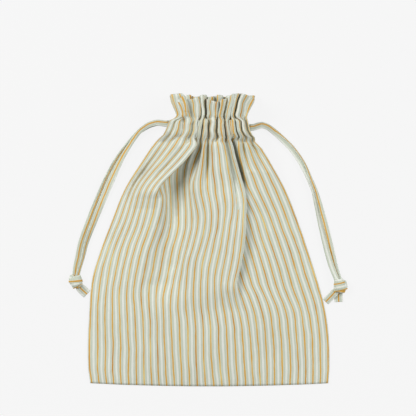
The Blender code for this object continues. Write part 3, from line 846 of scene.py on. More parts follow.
class Graph:
    """A new material, with short ways to add shader nodes to it."""

    def __init__(self, name: str) -> None:
        """Make the material and keep its node tree and its shader.

        Args:
            name: the material's name.
        """
        self.material = bpy.data.materials.new(name)
        self.material.use_nodes = True
        self.tree = self.material.node_tree
        self.shader = self.tree.nodes["Principled BSDF"]

    def add(self, kind: str) -> bpy.types.ShaderNode:
        """Add a node of a kind."""
        return self.tree.nodes.new(kind)

    def link(self, start: bpy.types.NodeSocket, end: bpy.types.NodeSocket) -> None:
        """Link two sockets."""
        self.tree.links.new(start, end)

    def cloth_place(self) -> tuple[bpy.types.NodeSocket, bpy.types.NodeSocket, bpy.types.NodeSocket]:
        """Read the mesh's flat places.

        Returns:
            The sockets of the place, of its u and of its v.
        """
        place = self.add("ShaderNodeUVMap")
        place.uv_map = "cloth"
        split = self.add("ShaderNodeSeparateXYZ")
        self.link(place.outputs["UV"], split.inputs[0])
        return place.outputs["UV"], split.outputs["X"], split.outputs["Y"]

    def color(self, color: bpy.types.NodeSocket) -> None:
        """Give the surface its colour."""
        self.link(color, self.shader.inputs["Base Color"])

    def bump(self, height: bpy.types.NodeSocket, strength: float, depth: float) -> None:
        """Give the surface a fine relief.

        Args:
            height: the relief's height, from 0 to 1.
            strength: how much of it shows.
            depth: its depth in millimetres.
        """
        node = self.add("ShaderNodeBump")
        node.inputs["Strength"].default_value = strength
        node.inputs["Distance"].default_value = depth * MM
        self.link(height, node.inputs["Height"])
        self.link(node.outputs["Normal"], self.shader.inputs["Normal"])

    def math(self, operation: str, a: bpy.types.NodeSocket | float,
             b: bpy.types.NodeSocket | float = 0.0) -> bpy.types.NodeSocket:
        """Add a math node on two values or sockets.

        Args:
            operation: the node's operation.
            a: the first value or socket.
            b: the second value or socket.

        Returns:
            The node's output.
        """
        node = self.add("ShaderNodeMath")
        node.operation = operation
        for socket, value in zip(node.inputs, (a, b)):
            if isinstance(value, bpy.types.NodeSocket):
                self.link(value, socket)
            else:
                socket.default_value = value
        return node.outputs[0]

    def noise(self, place: bpy.types.NodeSocket, scale: float, detail: float) -> bpy.types.NodeSocket:
        """Add a noise texture.

        Args:
            place: the place it is read at.
            scale: its scale.
            detail: its detail.

        Returns:
            The socket of its value.
        """
        node = self.add("ShaderNodeTexNoise")
        node.inputs["Scale"].default_value = scale
        node.inputs["Detail"].default_value = detail
        self.link(place, node.inputs["Vector"])
        return node.outputs["Fac"]

    def scaled(self, place: bpy.types.NodeSocket, scale: Point) -> bpy.types.NodeSocket:
        """Scale a place.

        Args:
            place: the place.
            scale: its scale along each axis.

        Returns:
            The scaled place's socket.
        """
        node = self.add("ShaderNodeMapping")
        node.inputs["Scale"].default_value = scale
        self.link(place, node.inputs["Vector"])
        return node.outputs["Vector"]

    def ramp(self, share: bpy.types.NodeSocket,
             stops: Sequence[tuple[float, StripeShade]]) -> bpy.types.NodeSocket:
        """Add a colour ramp.

        Args:
            share: the place along the ramp, from 0 to 1.
            stops: the ramp's places and their shades.

        Returns:
            The colour's socket.
        """
        node = self.add("ShaderNodeValToRGB")
        self.link(share, node.inputs["Fac"])
        ramp = node.color_ramp
        for element, (position, shade) in zip(ramp.elements, (stops[0], stops[-1])):
            element.position = position
            element.color = (*shade.value, 1.0)
        for position, shade in stops[1:-1]:
            ramp.elements.new(position).color = (*shade.value, 1.0)
        return node.outputs["Color"]

    def mix(self, share: bpy.types.NodeSocket, first: bpy.types.NodeSocket,
            second: bpy.types.NodeSocket) -> bpy.types.NodeSocket:
        """Mix two colours.

        Args:
            share: the second colour's share, kept between 0 and 1.
            first: the first colour.
            second: the second colour.

        Returns:
            The mixed colour's socket.
        """
        node = self.add("ShaderNodeMix")
        node.data_type = "RGBA"
        node.clamp_factor = True
        self.link(share, node.inputs[0])
        self.link(first, node.inputs[6])
        self.link(second, node.inputs[7])
        return node.outputs[2]

    def tint(self, color: bpy.types.NodeSocket, value: bpy.types.NodeSocket) -> bpy.types.NodeSocket:
        """Multiply a colour by a value.

        Args:
            color: the colour.
            value: the value.

        Returns:
            The tinted colour's socket.
        """
        node = self.add("ShaderNodeVectorMath")
        node.operation = "SCALE"
        self.link(color, node.inputs[0])
        self.link(value, node.inputs["Scale"])
        return node.outputs[0]


@dataclass
class Shape:
    """A mesh in the making: points in millimetres, faces, and each point's place u, v on the cloth."""

    points: list[Point] = field(default_factory=list)
    faces: list[tuple[int, ...]] = field(default_factory=list)
    places: list[tuple[float, float]] = field(default_factory=list)

    def make(self, name: str, finish: bpy.types.Material) -> bpy.types.Object:
        """Make the mesh object, smooth, with the flat places as its UV map.

        Args:
            name: the object's name.
            finish: its material.

        Returns:
            The object, linked to the scene.
        """
        data = bpy.data.meshes.new(name)
        data.from_pydata([tuple(value * MM for value in point) for point in self.points], [], self.faces)
        layer = data.uv_layers.new(name="cloth")
        for loop in data.loops:
            layer.data[loop.index].uv = self.places[loop.vertex_index]
        data.shade_smooth()
        data.materials.append(finish)
        thing = bpy.data.objects.new(name, data)
        bpy.context.scene.collection.objects.link(thing)
        return thing


def grid_faces(rows: int, columns: int) -> list[tuple[int, ...]]:
    """Faces of a grid of points.

    Args:
        rows: how many rows of points there are.
        columns: how many points a row has.

    Returns:
        The faces, row by row.
    """
    corners = [row * columns + column for row in range(rows - 1) for column in range(columns - 1)]
    return [(corner, corner + 1, corner + columns + 1, corner + columns) for corner in corners]


def thicken(thing: bpy.types.Object, thickness: float) -> None:
    """Give a sheet its thickness, half of it on each side.

    Args:
        thing: the sheet.
        thickness: the thickness in millimetres.
    """
    modifier = thing.modifiers.new("Cloth thickness", "SOLIDIFY")
    modifier.thickness = thickness * MM
    modifier.offset = 0.0


def declare(piece: bpy.types.Object, node: str) -> None:
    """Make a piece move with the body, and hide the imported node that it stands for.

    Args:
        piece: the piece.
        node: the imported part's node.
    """
    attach(piece, "root")
    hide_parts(node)


class SheetPoint(NamedTuple):
    """A point of a sheet: where it is, and where that is on the flat cloth."""

    x: float
    y: float
    z: float
    u: float
    v: float

@dataclass
class Panel:
    """What both panels share: rows of cloth up to the top edge, and the hem turned in behind them."""

    name: str
    columns: int
    top: float
    top_lifts: Sequence[tuple[float, float]]
    facing_height: float
    body_step: float
    neck_step: float
    hem_step: float
    casing_from: float = 92.0
    casing_to: float = 103.5

    def fold_values(self, y: float) -> tuple[np.ndarray, np.ndarray]:
        """The columns' places, and their x, z and slope as three rows, at a height up the bag."""
        raise NotImplementedError

    def row_points(self, y: float, v: float, offset: float = 0.0) -> list[SheetPoint]:
        """The panel's points at a height, set in along the cloth's normal by an offset."""
        raise NotImplementedError

    def casing_share(self, y: float) -> float:
        """How far the casing's gathers have come in at a height, from 0 to 1."""
        return float(smooth((y - self.casing_from) / (self.casing_to - self.casing_from)))

    def across_and_shift(self, places: np.ndarray, x: np.ndarray, y: float) -> tuple[np.ndarray, np.ndarray]:
        """Where the columns are between the seams, and how far the panel's edges move them.

        Args:
            places: the columns' places across the cloth.
            x: where the columns are.
            y: the height up the bag.

        Returns:
            The columns from -1 at the left seam to 1 at the right one, and their shifts along y.
        """
        across = (x - (x[0] + x[-1]) / 2) / ((x[-1] - x[0]) / 2)
        bow = BOTTOM_BOW * float(smooth(1.0 - (y - BOTTOM) / BOTTOM_BOW_REACH))
        share = float(np.clip((y - UPPER_STITCH) / (self.top - UPPER_STITCH), 0.0, 1.0))
        lift = np.interp(places, *zip(*self.top_lifts))
        return across, lift * share - bow * (1.0 - across ** 2)

    def facing_row(self, y: float) -> list[SheetPoint]:
        """Points of the casing's inner layer.

        Args:
            y: the height up the bag.

        Returns:
            One point for each column.
        """
        across = np.linspace(-1.0, 1.0, self.columns)
        ripple = FACING_RIPPLE * np.cos(math.pi * FACING_RIPPLES * across)
        v = 2 * self.top - y
        return [SheetPoint(FACING_HALF_WIDTH * a, y, self.facing_height + r, (a + 1.0) / 2 * CLOTH_WIDTH, v)
                for a, r in zip(across.tolist(), ripple.tolist())]

    def rows(self) -> list[list[SheetPoint]]:
        """All rows of the panel, from its bottom edge to its top and down the hem inside.

        Returns:
            The rows, each with one point for each column.
        """
        heights = [*np.arange(BOTTOM, 0.0, self.body_step),
                   *np.arange(0.0, self.top - LAST_PLAIN_ROW, self.neck_step)]
        rows = [self.row_points(float(y), float(y)) for y in heights]
        rows.append(self.row_points(self.top - EDGE_ROUND, self.top - EDGE_ROUND))
        rows.append(self.row_points(self.top, self.top, HEM_OFFSET / 2))
        rows.append(self.row_points(self.top - EDGE_ROUND, self.top + EDGE_ROUND, HEM_OFFSET))
        for y in np.arange(self.top - HEM_STARTS, LOOSE_HEM_ENDS, -self.hem_step):
            rows.append(self.row_points(float(y), 2 * self.top - float(y), HEM_OFFSET))
        return rows + [self.facing_row(y) for y in FACING_ROWS]

    def build(self, cotton: bpy.types.Material) -> bpy.types.Object:
        """Build the panel and dress it.

        Args:
            cotton: the cloth's material.

        Returns:
            The panel, with its thickness.
        """
        rows = self.rows()
        flat = [point for row in rows for point in row]
        shape = Shape([point[:3] for point in flat], grid_faces(len(rows), self.columns),
                      [(point.u, point.v) for point in flat])
        panel = shape.make(self.name, cotton)
        thicken(panel, SHEET_THICKNESS)
        return panel


@dataclass
class FrontPanel(Panel):
    """The front of the bag, with its two flat folds, its casing and its frill."""

    name: str = "front_cloth"
    columns: int = 280
    top: float = FRONT_TOP
    top_lifts: Sequence[tuple[float, float]] = FRONT_TOP_LIFTS
    facing_height: float = 19.0
    body_step: float = 2.6
    neck_step: float = 1.3
    hem_step: float = 2.0
    frill_from: float = 117.0
    frill_to: float = 122.5
    crease_columns: tuple[float, float] = (0.21, 0.66)
    fold_columns: tuple[float, ...] = (0.0, 0.03, 0.05, 0.08)
    stitch_pinch: float = 0.7
    stitch_pinch_reach: float = 1.6
    seam_hold: float = 9.0
    crimp_from: float = 96.0
    crimp_over: float = 8.0
    crimp_calms: float = 0.7

    def column_places(self, row: Row, heading: float) -> np.ndarray:
        """Where the columns are across the cloth at a height, closer together in the folds.

        Args:
            row: the creases at that height.
            heading: how far the heading's gathers have come in, from 0 to 1.

        Returns:
            One place for each column.
        """
        corners, shares = [0.0], [0.0]
        creases = ((CREASE_1_AT, row.hidden_1), (CREASE_2_AT, row.hidden_2))
        for (crease, hidden), share in zip(creases, self.crease_columns):
            flap = max(1.0, hidden / 2 - TURN)
            corners += [crease, crease + TURN, crease + TURN + flap, crease + 2 * TURN + flap]
            shares += [share + step for step in self.fold_columns]
        corners.append(CLOTH_WIDTH)
        shares.append(1.0)
        across = np.linspace(0.0, 1.0, self.columns)
        return blend_values(np.interp(across, shares, corners), across * CLOTH_WIDTH, heading)

    def fold_values(self, y: float) -> tuple[np.ndarray, np.ndarray]:
        """The places across the cloth, and x, z and slope of each column, at a height.

        Args:
            y: the height up the bag.

        Returns:
            The columns' places, and their x, z and slope as three rows.
        """
        row = read_outline(y)
        casing = self.casing_share(y)
        frill = float(smooth((y - self.frill_from) / (self.frill_to - self.frill_from)))
        places = self.column_places(row, casing)
        values = np.zeros((3, self.columns))
        if casing < 1.0:
            values = at_places(front_body_fold(row), places)
        if casing > 0.0:
            heading = np.zeros((3, self.columns))
            if frill < 1.0:
                heading = at_places(heading_fold(row, CASING_RIDGES, ()), places)
            if frill > 0.0:
                top = at_places(heading_fold(row, FRILL_RIDGES, (FAN_CREASE,)), places)
                heading = blend_values(heading, top, frill) if frill < 1.0 else top
            values = blend_values(values, heading, casing) if casing < 1.0 else heading
        return places, values

    def row_points(self, y: float, v: float, offset: float = 0.0) -> list[SheetPoint]:
        """The panel's points at a height.

        Args:
            y: the height up the bag.
            v: the place up the flat cloth.
            offset: how far the points are set in along the cloth's normal.

        Returns:
            One point for each column.
        """
        places, (x, z, slope) = self.fold_values(y)
        across, shift = self.across_and_shift(places, x, y)
        height = read_row(HEIGHTS, y)
        arch = 1.0 - np.abs(np.clip(across, -1.0, 1.0)) ** height.flatness
        base = height.seam + (height.crown - height.seam) * arch
        pinch = sum(math.exp(-((y - line) / self.stitch_pinch_reach) ** 2)
                    for line in (LOWER_STITCH, UPPER_STITCH)) * self.stitch_pinch
        relief = self.relief(places, y)
        edge = smooth((1.0 - np.abs(across)) * self.seam_hold).tolist()
        gathered = float(smooth((y - self.crimp_from) / self.crimp_over))
        calm = 1.0 - gathered * self.crimp_calms
        points = []
        for k, place in enumerate(places.tolist()):
            rise = uneven(WRINKLES, place, y) * edge[k] * calm
            stray = (uneven(STRAYS, place, y) * calm + gathered * uneven(CRIMPS, place, y)) * edge[k]
            points.append(SheetPoint(
                float(x[k] + stray + offset * math.sin(slope[k])),
                float(y + shift[k]),
                float(base[k] + z[k] - offset * math.cos(slope[k]) + relief[k] * edge[k] + rise - pinch),
                place, v))
        return points

    def relief(self, places: np.ndarray, y: float) -> np.ndarray:
        """Height of the front's broad soft forms.

        Args:
            places: the columns' places across the cloth.
            y: the height up the bag.

        Returns:
            One height for each column.
        """
        total = np.zeros_like(places)
        for form in FRONT_RELIEFS:
            along = (y - form.y) / form.half_y
            middle = form.u + form.wander * along
            total += form.height * np.exp(-((places - middle) / form.half_u) ** 2 - along ** 2)
        return total


@dataclass
class BackPanel(Panel):
    """The back of the bag: flat on the surface, and gathered with the front at the neck."""

    name: str = "back_cloth"
    columns: int = 190
    top: float = BACK_TOP
    top_lifts: Sequence[tuple[float, float]] = BACK_TOP_LIFTS
    facing_height: float = 12.7
    body_step: float = 6.0
    neck_step: float = 1.6
    hem_step: float = 2.4
    surface_gap: float = 0.1

    def fold_values(self, y: float) -> tuple[np.ndarray, np.ndarray]:
        """The columns' places, and their x, z and slope, at a height.

        Args:
            y: the height up the bag.

        Returns:
            The columns' places, and their x, z and slope as three rows.
        """
        even = np.linspace(0.0, CLOTH_WIDTH, self.columns)
        row = read_outline(y)
        casing = self.casing_share(y)
        values = np.zeros((3, self.columns))
        if casing < 1.0:
            body = back_fold(pleat_bands(BACK_PLEATS, y), row.left, row.right, BACK_PRESS)
            values = at_places(body, even)
        if casing > 0.0:
            heading = back_fold(heading_bands(BACK_HEADING_PLEATS), row.left, row.right, HEADING_PRESS)
            values = blend_values(values, at_places(heading, even), casing)
        return even, values

    def row_points(self, y: float, v: float, offset: float = 0.0) -> list[SheetPoint]:
        """The panel's points at a height.

        Args:
            y: the height up the bag.
            v: the place up the flat cloth.
            offset: how far the points are set in along the cloth's normal.

        Returns:
            One point for each column.
        """
        places, (x, z, slope) = self.fold_values(y)
        across, shift = self.across_and_shift(places, x, y)
        lowest = SHEET_THICKNESS / 2 + self.surface_gap
        base = lowest + read_row(HEIGHTS, y).back_seam * np.abs(across) ** 4
        return [SheetPoint(float(x[k] + offset * math.sin(slope[k])), float(y + shift[k]),
                           float(base[k] - z[k] + offset * math.cos(slope[k])), float(places[k]), v)
                for k in range(self.columns)]


class Face(Enum):
    """The face of a panel that shows, and its sign along z."""

    UP = 1.0
    DOWN = -1.0


# Rings along a stitch: how far along it each is, and how much of the thread's thickness it has
STITCH_RINGS = ((0.0, 0.35), (0.18, 0.9), (0.5, 1.0), (0.82, 0.9), (1.0, 0.35))


@dataclass
class StitchRows:
    """Rows of sewing thread on a panel's face, each stitch a small rounded bar on the cloth."""

    name: str
    panel: Panel
    face: Face
    heights: tuple[float, ...] = (LOWER_STITCH, UPPER_STITCH)
    stitch: float = 2.0
    gap: float = 0.7
    thick: float = 0.42
    raised: float = 0.3
    sag: float = 0.28
    sides: int = 6

    def build(self, thread: bpy.types.Material) -> bpy.types.Object:
        """Build the rows.

        Args:
            thread: the thread's material.

        Returns:
            One object with all the stitches.
        """
        shape = Shape()
        lift = self.face.value * (SHEET_THICKNESS / 2 + self.thick * self.raised)
        for y in self.heights:
            row = self.panel.row_points(y, y)
            across = [point.u for point in row]
            slopes = self.panel.fold_values(y)[1][2]
            tracks = [np.array([point[axis] for point in row]) for axis in range(3)]
            tracks[0] = tracks[0] - lift * np.sin(slopes)
            tracks[2] = tracks[2] + lift * np.cos(slopes)
            u = self.gap
            while u + self.stitch < CLOTH_WIDTH:
                start, end = (Vector([float(np.interp(place, across, track)) for track in tracks])
                              for place in (u, u + self.stitch))
                self.add_stitch(start, end, shape)
                u += self.stitch + self.gap
        return shape.make(self.name, thread)

    def add_stitch(self, start: Vector, end: Vector, shape: Shape) -> None:
        """Add one stitch between two points of the cloth.

        Args:
            start: where the thread comes out.
            end: where it goes in.
            shape: the rows' mesh, added to.
        """
        along = end - start
        side = Vector((0.0, 1.0, 0.0))
        up = side.cross(along).normalized() * -self.face.value
        first = len(shape.points)
        for share, size in STITCH_RINGS:
            middle = start + along * share - up * (self.sag * (1.0 - size))
            for k in range(self.sides):
                angle = 2 * math.pi * k / self.sides
                spot = middle + (side * math.cos(angle) + up * math.sin(angle)) * (self.thick / 2 * size)
                shape.points.append(tuple(spot))
                shape.places.append((angle, share * self.stitch))
        last = first + (len(STITCH_RINGS) - 1) * self.sides
        for ring in range(first, last, self.sides):
            for k in range(self.sides):
                a, b = ring + k, ring + (k + 1) % self.sides
                shape.faces.append((a, b, b + self.sides, a + self.sides))
        shape.faces.append(tuple(first + k for k in reversed(range(self.sides))))
        shape.faces.append(tuple(last + k for k in range(self.sides)))


class LegPoint(NamedTuple):
    """A point on a cord's upper leg, the step to the lower leg, and how each tape lies there."""

    x: float
    y: float
    z: float
    lower_dx: float
    lower_dy: float
    lower_z: float
    wide: float
    roll: float
    lower_wide: float
    lower_roll: float


LEFT_LEGS = (
    LegPoint(-40.1, 115.6, 15.8, 0.0, 0.0, 10.8, 6.0, 6.0, 6.0, 0.0),
    LegPoint(-44.0, 115.7, 14.2, 0.0, 0.0, 10.2, 6.0, 6.0, 6.0, 0.0),
    LegPoint(-48.0, 116.4, 12.4, 0.0, 0.0, 9.0, 6.0, 4.0, 6.0, -4.0),
    LegPoint(-52.0, 116.8, 10.2, -0.2, -0.4, 7.2, 5.8, 0.0, 5.6, -8.0),
    LegPoint(-59.0, 115.2, 6.8, -0.6, -1.0, 4.4, 5.6, -6.0, 5.2, 0.0),
    LegPoint(-65.0, 111.8, 4.6, -1.0, -1.2, 2.2, 5.2, -4.0, 4.8, 10.0),
    LegPoint(-70.8, 106.8, 3.8, -1.6, -1.0, 1.8, 5.0, 0.0, 4.6, 26.0),
    LegPoint(-78.0, 96.4, 3.8, -3.2, -0.2, 2.6, 4.6, -4.0, 4.6, 56.0),
    LegPoint(-87.4, 81.0, 3.4, -4.8, 0.6, 2.8, 5.6, -8.0, 5.0, 60.0),
    LegPoint(-96.0, 63.6, 3.0, -5.6, 0.8, 2.8, 7.6, -10.0, 5.4, 56.0),
    LegPoint(-105.4, 41.8, 2.8, -5.6, 0.4, 2.2, 7.2, -4.0, 5.8, 32.0),
    LegPoint(-113.4, 21.6, 3.0, -5.6, -0.4, 1.4, 6.4, 18.0, 6.4, 4.0),
    LegPoint(-121.8, -1.0, 3.4, -5.4, -0.6, 1.4, 6.0, 44.0, 6.6, -8.0),
    LegPoint(-126.0, -18.0, 3.8, -4.8, -0.4, 1.6, 5.6, 54.0, 6.4, -6.0),
    LegPoint(-129.0, -28.0, 5.0, -3.8, -0.2, 2.8, 5.0, 50.0, 6.0, 0.0),
    LegPoint(-131.6, -37.6, 6.8, -1.8, 0.0, 5.4, 4.4, 30.0, 5.6, 0.0),
)
RIGHT_LEGS = (
    LegPoint(40.1, 111.8, 15.8, 0.0, 0.0, 10.8, 6.4, -4.0, 6.4, 0.0),
    LegPoint(44.0, 111.9, 14.2, 0.0, 0.0, 10.2, 6.4, -2.0, 6.4, 0.0),
    LegPoint(48.5, 113.2, 12.2, 0.0, 0.6, 8.8, 6.4, -2.0, 6.2, 8.0),
    LegPoint(53.0, 114.2, 10.2, 0.4, 0.8, 7.2, 6.2, -6.0, 5.6, 24.0),
    LegPoint(59.0, 112.0, 6.8, 1.2, 1.2, 4.6, 5.8, -8.0, 5.0, 44.0),
    LegPoint(64.2, 108.0, 4.4, 1.8, 1.4, 2.9, 5.4, -8.0, 4.8, 56.0),
    LegPoint(71.8, 101.2, 3.4, 2.2, 1.4, 2.6, 5.2, -8.0, 4.6, 60.0),
    LegPoint(82.4, 90.2, 3.2, 2.6, 1.2, 2.5, 5.0, -4.0, 4.4, 60.0),
    LegPoint(91.8, 76.4, 3.2, 3.0, 0.8, 2.5, 4.8, 6.0, 4.2, 58.0),
    LegPoint(98.2, 62.8, 3.4, 2.6, 0.2, 2.2, 4.6, 40.0, 4.4, 40.0),
    LegPoint(103.4, 48.4, 3.4, 3.2, -0.4, 1.4, 4.4, 60.0, 5.0, 10.0),
    LegPoint(107.4, 30.5, 3.2, 4.2, -0.4, 1.2, 4.8, 54.0, 6.4, -6.0),
    LegPoint(112.4, 10.0, 3.0, 4.6, -0.6, 1.2, 5.4, 28.0, 7.0, -4.0),
    LegPoint(117.6, -10.0, 3.0, 4.2, -0.6, 1.2, 5.8, 6.0, 7.0, -4.0),
    LegPoint(121.8, -25.0, 4.0, 3.4, -0.4, 1.8, 5.8, 0.0, 6.6, 0.0),
    LegPoint(127.6, -40.2, 6.6, 2.0, 0.0, 5.2, 5.2, 0.0, 6.0, 0.0),
)


class KnotBand(NamedTuple):
    """A band of tape over a knot: places along its two ends, its height, and its stripes there."""

    left: tuple[tuple[float, float], ...]
    right: tuple[tuple[float, float], ...]
    height: float
    stripes: tuple[float, ...]


LEFT_KNOT = (
    KnotBand(((-3.0, 7.0), (-5.8, 5.6), (-6.6, 0.0)), ((6.6, 1.4), (5.8, -2.6), (2.0, -6.8)),
             3.4, (0.5, 3.2, 8.6)),
    KnotBand(((-5.6, 3.4), (-6.7, 0.2), (-1.6, -7.0)), ((4.4, 6.8), (6.8, 0.5), (6.3, -2.2)),
             4.7, (-3.2, 0.0, 8.2)),
)
RIGHT_KNOT = (
    KnotBand(((-4.6, 6.9), (-6.2, 2.0), (-5.4, -6.4)), ((5.2, 4.6), (7.0, -0.8), (3.6, -7.4)),
             3.4, (1.0, 4.0, 9.0)),
    KnotBand(((-5.6, 6.2), (-6.3, 1.2), (-6.2, -6.6)), ((2.0, 6.6), (4.4, 3.6), (6.8, -3.6)),
             4.7, (-5.2, 0.0, 8.4)),
)
# How far along a band's end each of its three places is
BAND_MARKS = (0.0, 0.35, 1.0)


class Tail(NamedTuple):
    """A free end of a cord: its node, its width, and its way out of the knot."""

    node: str
    width: float
    route: tuple[Point, ...]


LEFT_TAILS = (
    Tail("left_cord_tail", 9.6, ((-130.8, -44.2, 5.2), (-127.4, -48.4, 3.4), (-124.8, -51.2, 2.0),
                                 (-121.8, -54.0, 1.4))),
)
RIGHT_TAILS = (
    Tail("right_cord_tail_1", 7.8, ((128.6, -48.4, 5.2), (124.6, -52.8, 4.2), (120.8, -57.0, 2.8),
                                    (116.4, -61.6, 1.6))),
    Tail("right_cord_tail_2", 8.4, ((130.6, -48.6, 4.6), (129.6, -53.2, 2.2), (129.4, -57.6, 1.5),
                                    (129.6, -61.8, 1.2))),
)


class RunPoint(NamedTuple):
    """A point of the hidden run near its slit: its x, its share of the drift, and its height."""

    x: float
    drift: float
    z: float


TAPE_THICKNESS = 1.2
# A tape's cut with its rounded edges, in shares of its width and of its thickness
TAPE_RING = ((-0.5, 0.0), (-0.47, 0.34), (-0.4, 0.5), (-0.2, 0.46), (0.0, 0.5), (0.2, 0.46), (0.4, 0.5),
             (0.47, 0.34), (0.5, 0.0), (0.47, -0.34), (0.4, -0.5), (0.0, -0.46), (-0.4, -0.5), (-0.47, -0.34))
RUN_WIDTH = 7.0
RUN_THICKNESS = 1.0
FRONT_RUN_HEIGHT = 20.9
BACK_RUN_HEIGHT = 10.9
TURN_AT = 24.0
TURN_STEPS = 12
RUN_EXIT = (RunPoint(39.7, 1.0, 16.0), RunPoint(36.0, 0.62, 17.6), RunPoint(31.0, 0.15, 19.4),
            RunPoint(26.5, 0.0, FRONT_RUN_HEIGHT))


class Side(Enum):
    """The side that a cord comes out at, and its sign along x."""

    LEFT = -1.0
    RIGHT = 1.0


def smooth_route(points: Sequence[Point], step: float) -> list[Point]:
    """Points at even steps along a smooth curve through the route's own points.

    Args:
        points: the route's points.
        step: the spacing wanted.

    Returns:
        The finer route, with the same ends.
    """
    route = []
    padded = [points[0]] + list(points) + [points[-1]]
    for p0, p1, p2, p3 in zip(padded, padded[1:], padded[2:], padded[3:]):
        pieces = max(1, int(round(math.dist(p1, p2) / step)))
        for k in range(pieces):
            t = k / pieces
            route.append(tuple(
                0.5 * (2 * b + (c - a) * t + (2 * a - 5 * b + 4 * c - d) * t * t
                       + (3 * b - a - 3 * c + d) * t ** 3)
                for a, b, c, d in zip(p0, p1, p2, p3)))
    route.append(tuple(points[-1]))
    return route


def route_length(route: Sequence[Point]) -> float:
    """The length of a route, in millimetres."""
    return sum(math.dist(a, b) for a, b in zip(route, route[1:]))


def tape_object(name: str, route: Sequence[Point], widths: Sequence[float], rolls: Sequence[float],
                thickness: float, cotton: bpy.types.Material, fixed_side: Vector | None = None,
                slides: Sequence[float] | None = None) -> bpy.types.Object:
    """Make a flat tape along a route, with rounded edges and closed ends.

    Args:
        name: the object's name.
        route: the middle of the tape, in millimetres.
        widths: the tape's width at each point.
        rolls: how far the tape is rolled about its line at each point, in degrees.
        thickness: the tape's thickness.
        cotton: its material.
        fixed_side: the direction across the tape, where it doesn't follow the route.
        slides: how far the stripes are moved across the tape at each point.

    Returns:
        The tape.
    """
    shape = Shape()
    travelled = 0.0
    for k, place in enumerate(route):
        before = Vector(route[max(0, k - 1)])
        after = Vector(route[min(len(route) - 1, k + 1)])
        if k:
            travelled += math.dist(route[k - 1], place)
        along = (after - before).normalized()
        across = fixed_side
        if across is None:
            across = along.cross(Vector((0.0, 0.0, 1.0))).normalized()
        up = across.cross(along).normalized()
        roll = math.radians(rolls[k])
        side = across * math.cos(roll) + up * math.sin(roll)
        top = up * math.cos(roll) - across * math.sin(roll)
        slide = slides[k] if slides else 0.0
        for a, b in TAPE_RING:
            point = Vector(place) + side * (a * widths[k]) + top * (b * thickness)
            shape.points.append(tuple(point))
            shape.places.append((a * widths[k] + slide, travelled))
    count = len(TAPE_RING)
    last = (len(route) - 1) * count
    for ring in range(0, last, count):
        for j in range(count):
            n = (j + 1) % count
            shape.faces.append((ring + j, ring + n, ring + count + n, ring + count + j))
    shape.faces.append(tuple(reversed(range(count))))
    shape.faces.append(tuple(last + j for j in range(count)))
    tape = shape.make(name, cotton)
    mesh = bmesh.new()
    mesh.from_mesh(tape.data)
    bmesh.ops.recalc_face_normals(mesh, faces=mesh.faces)
    mesh.to_mesh(tape.data)
    mesh.free()
    tape.data.shade_smooth()
    return tape


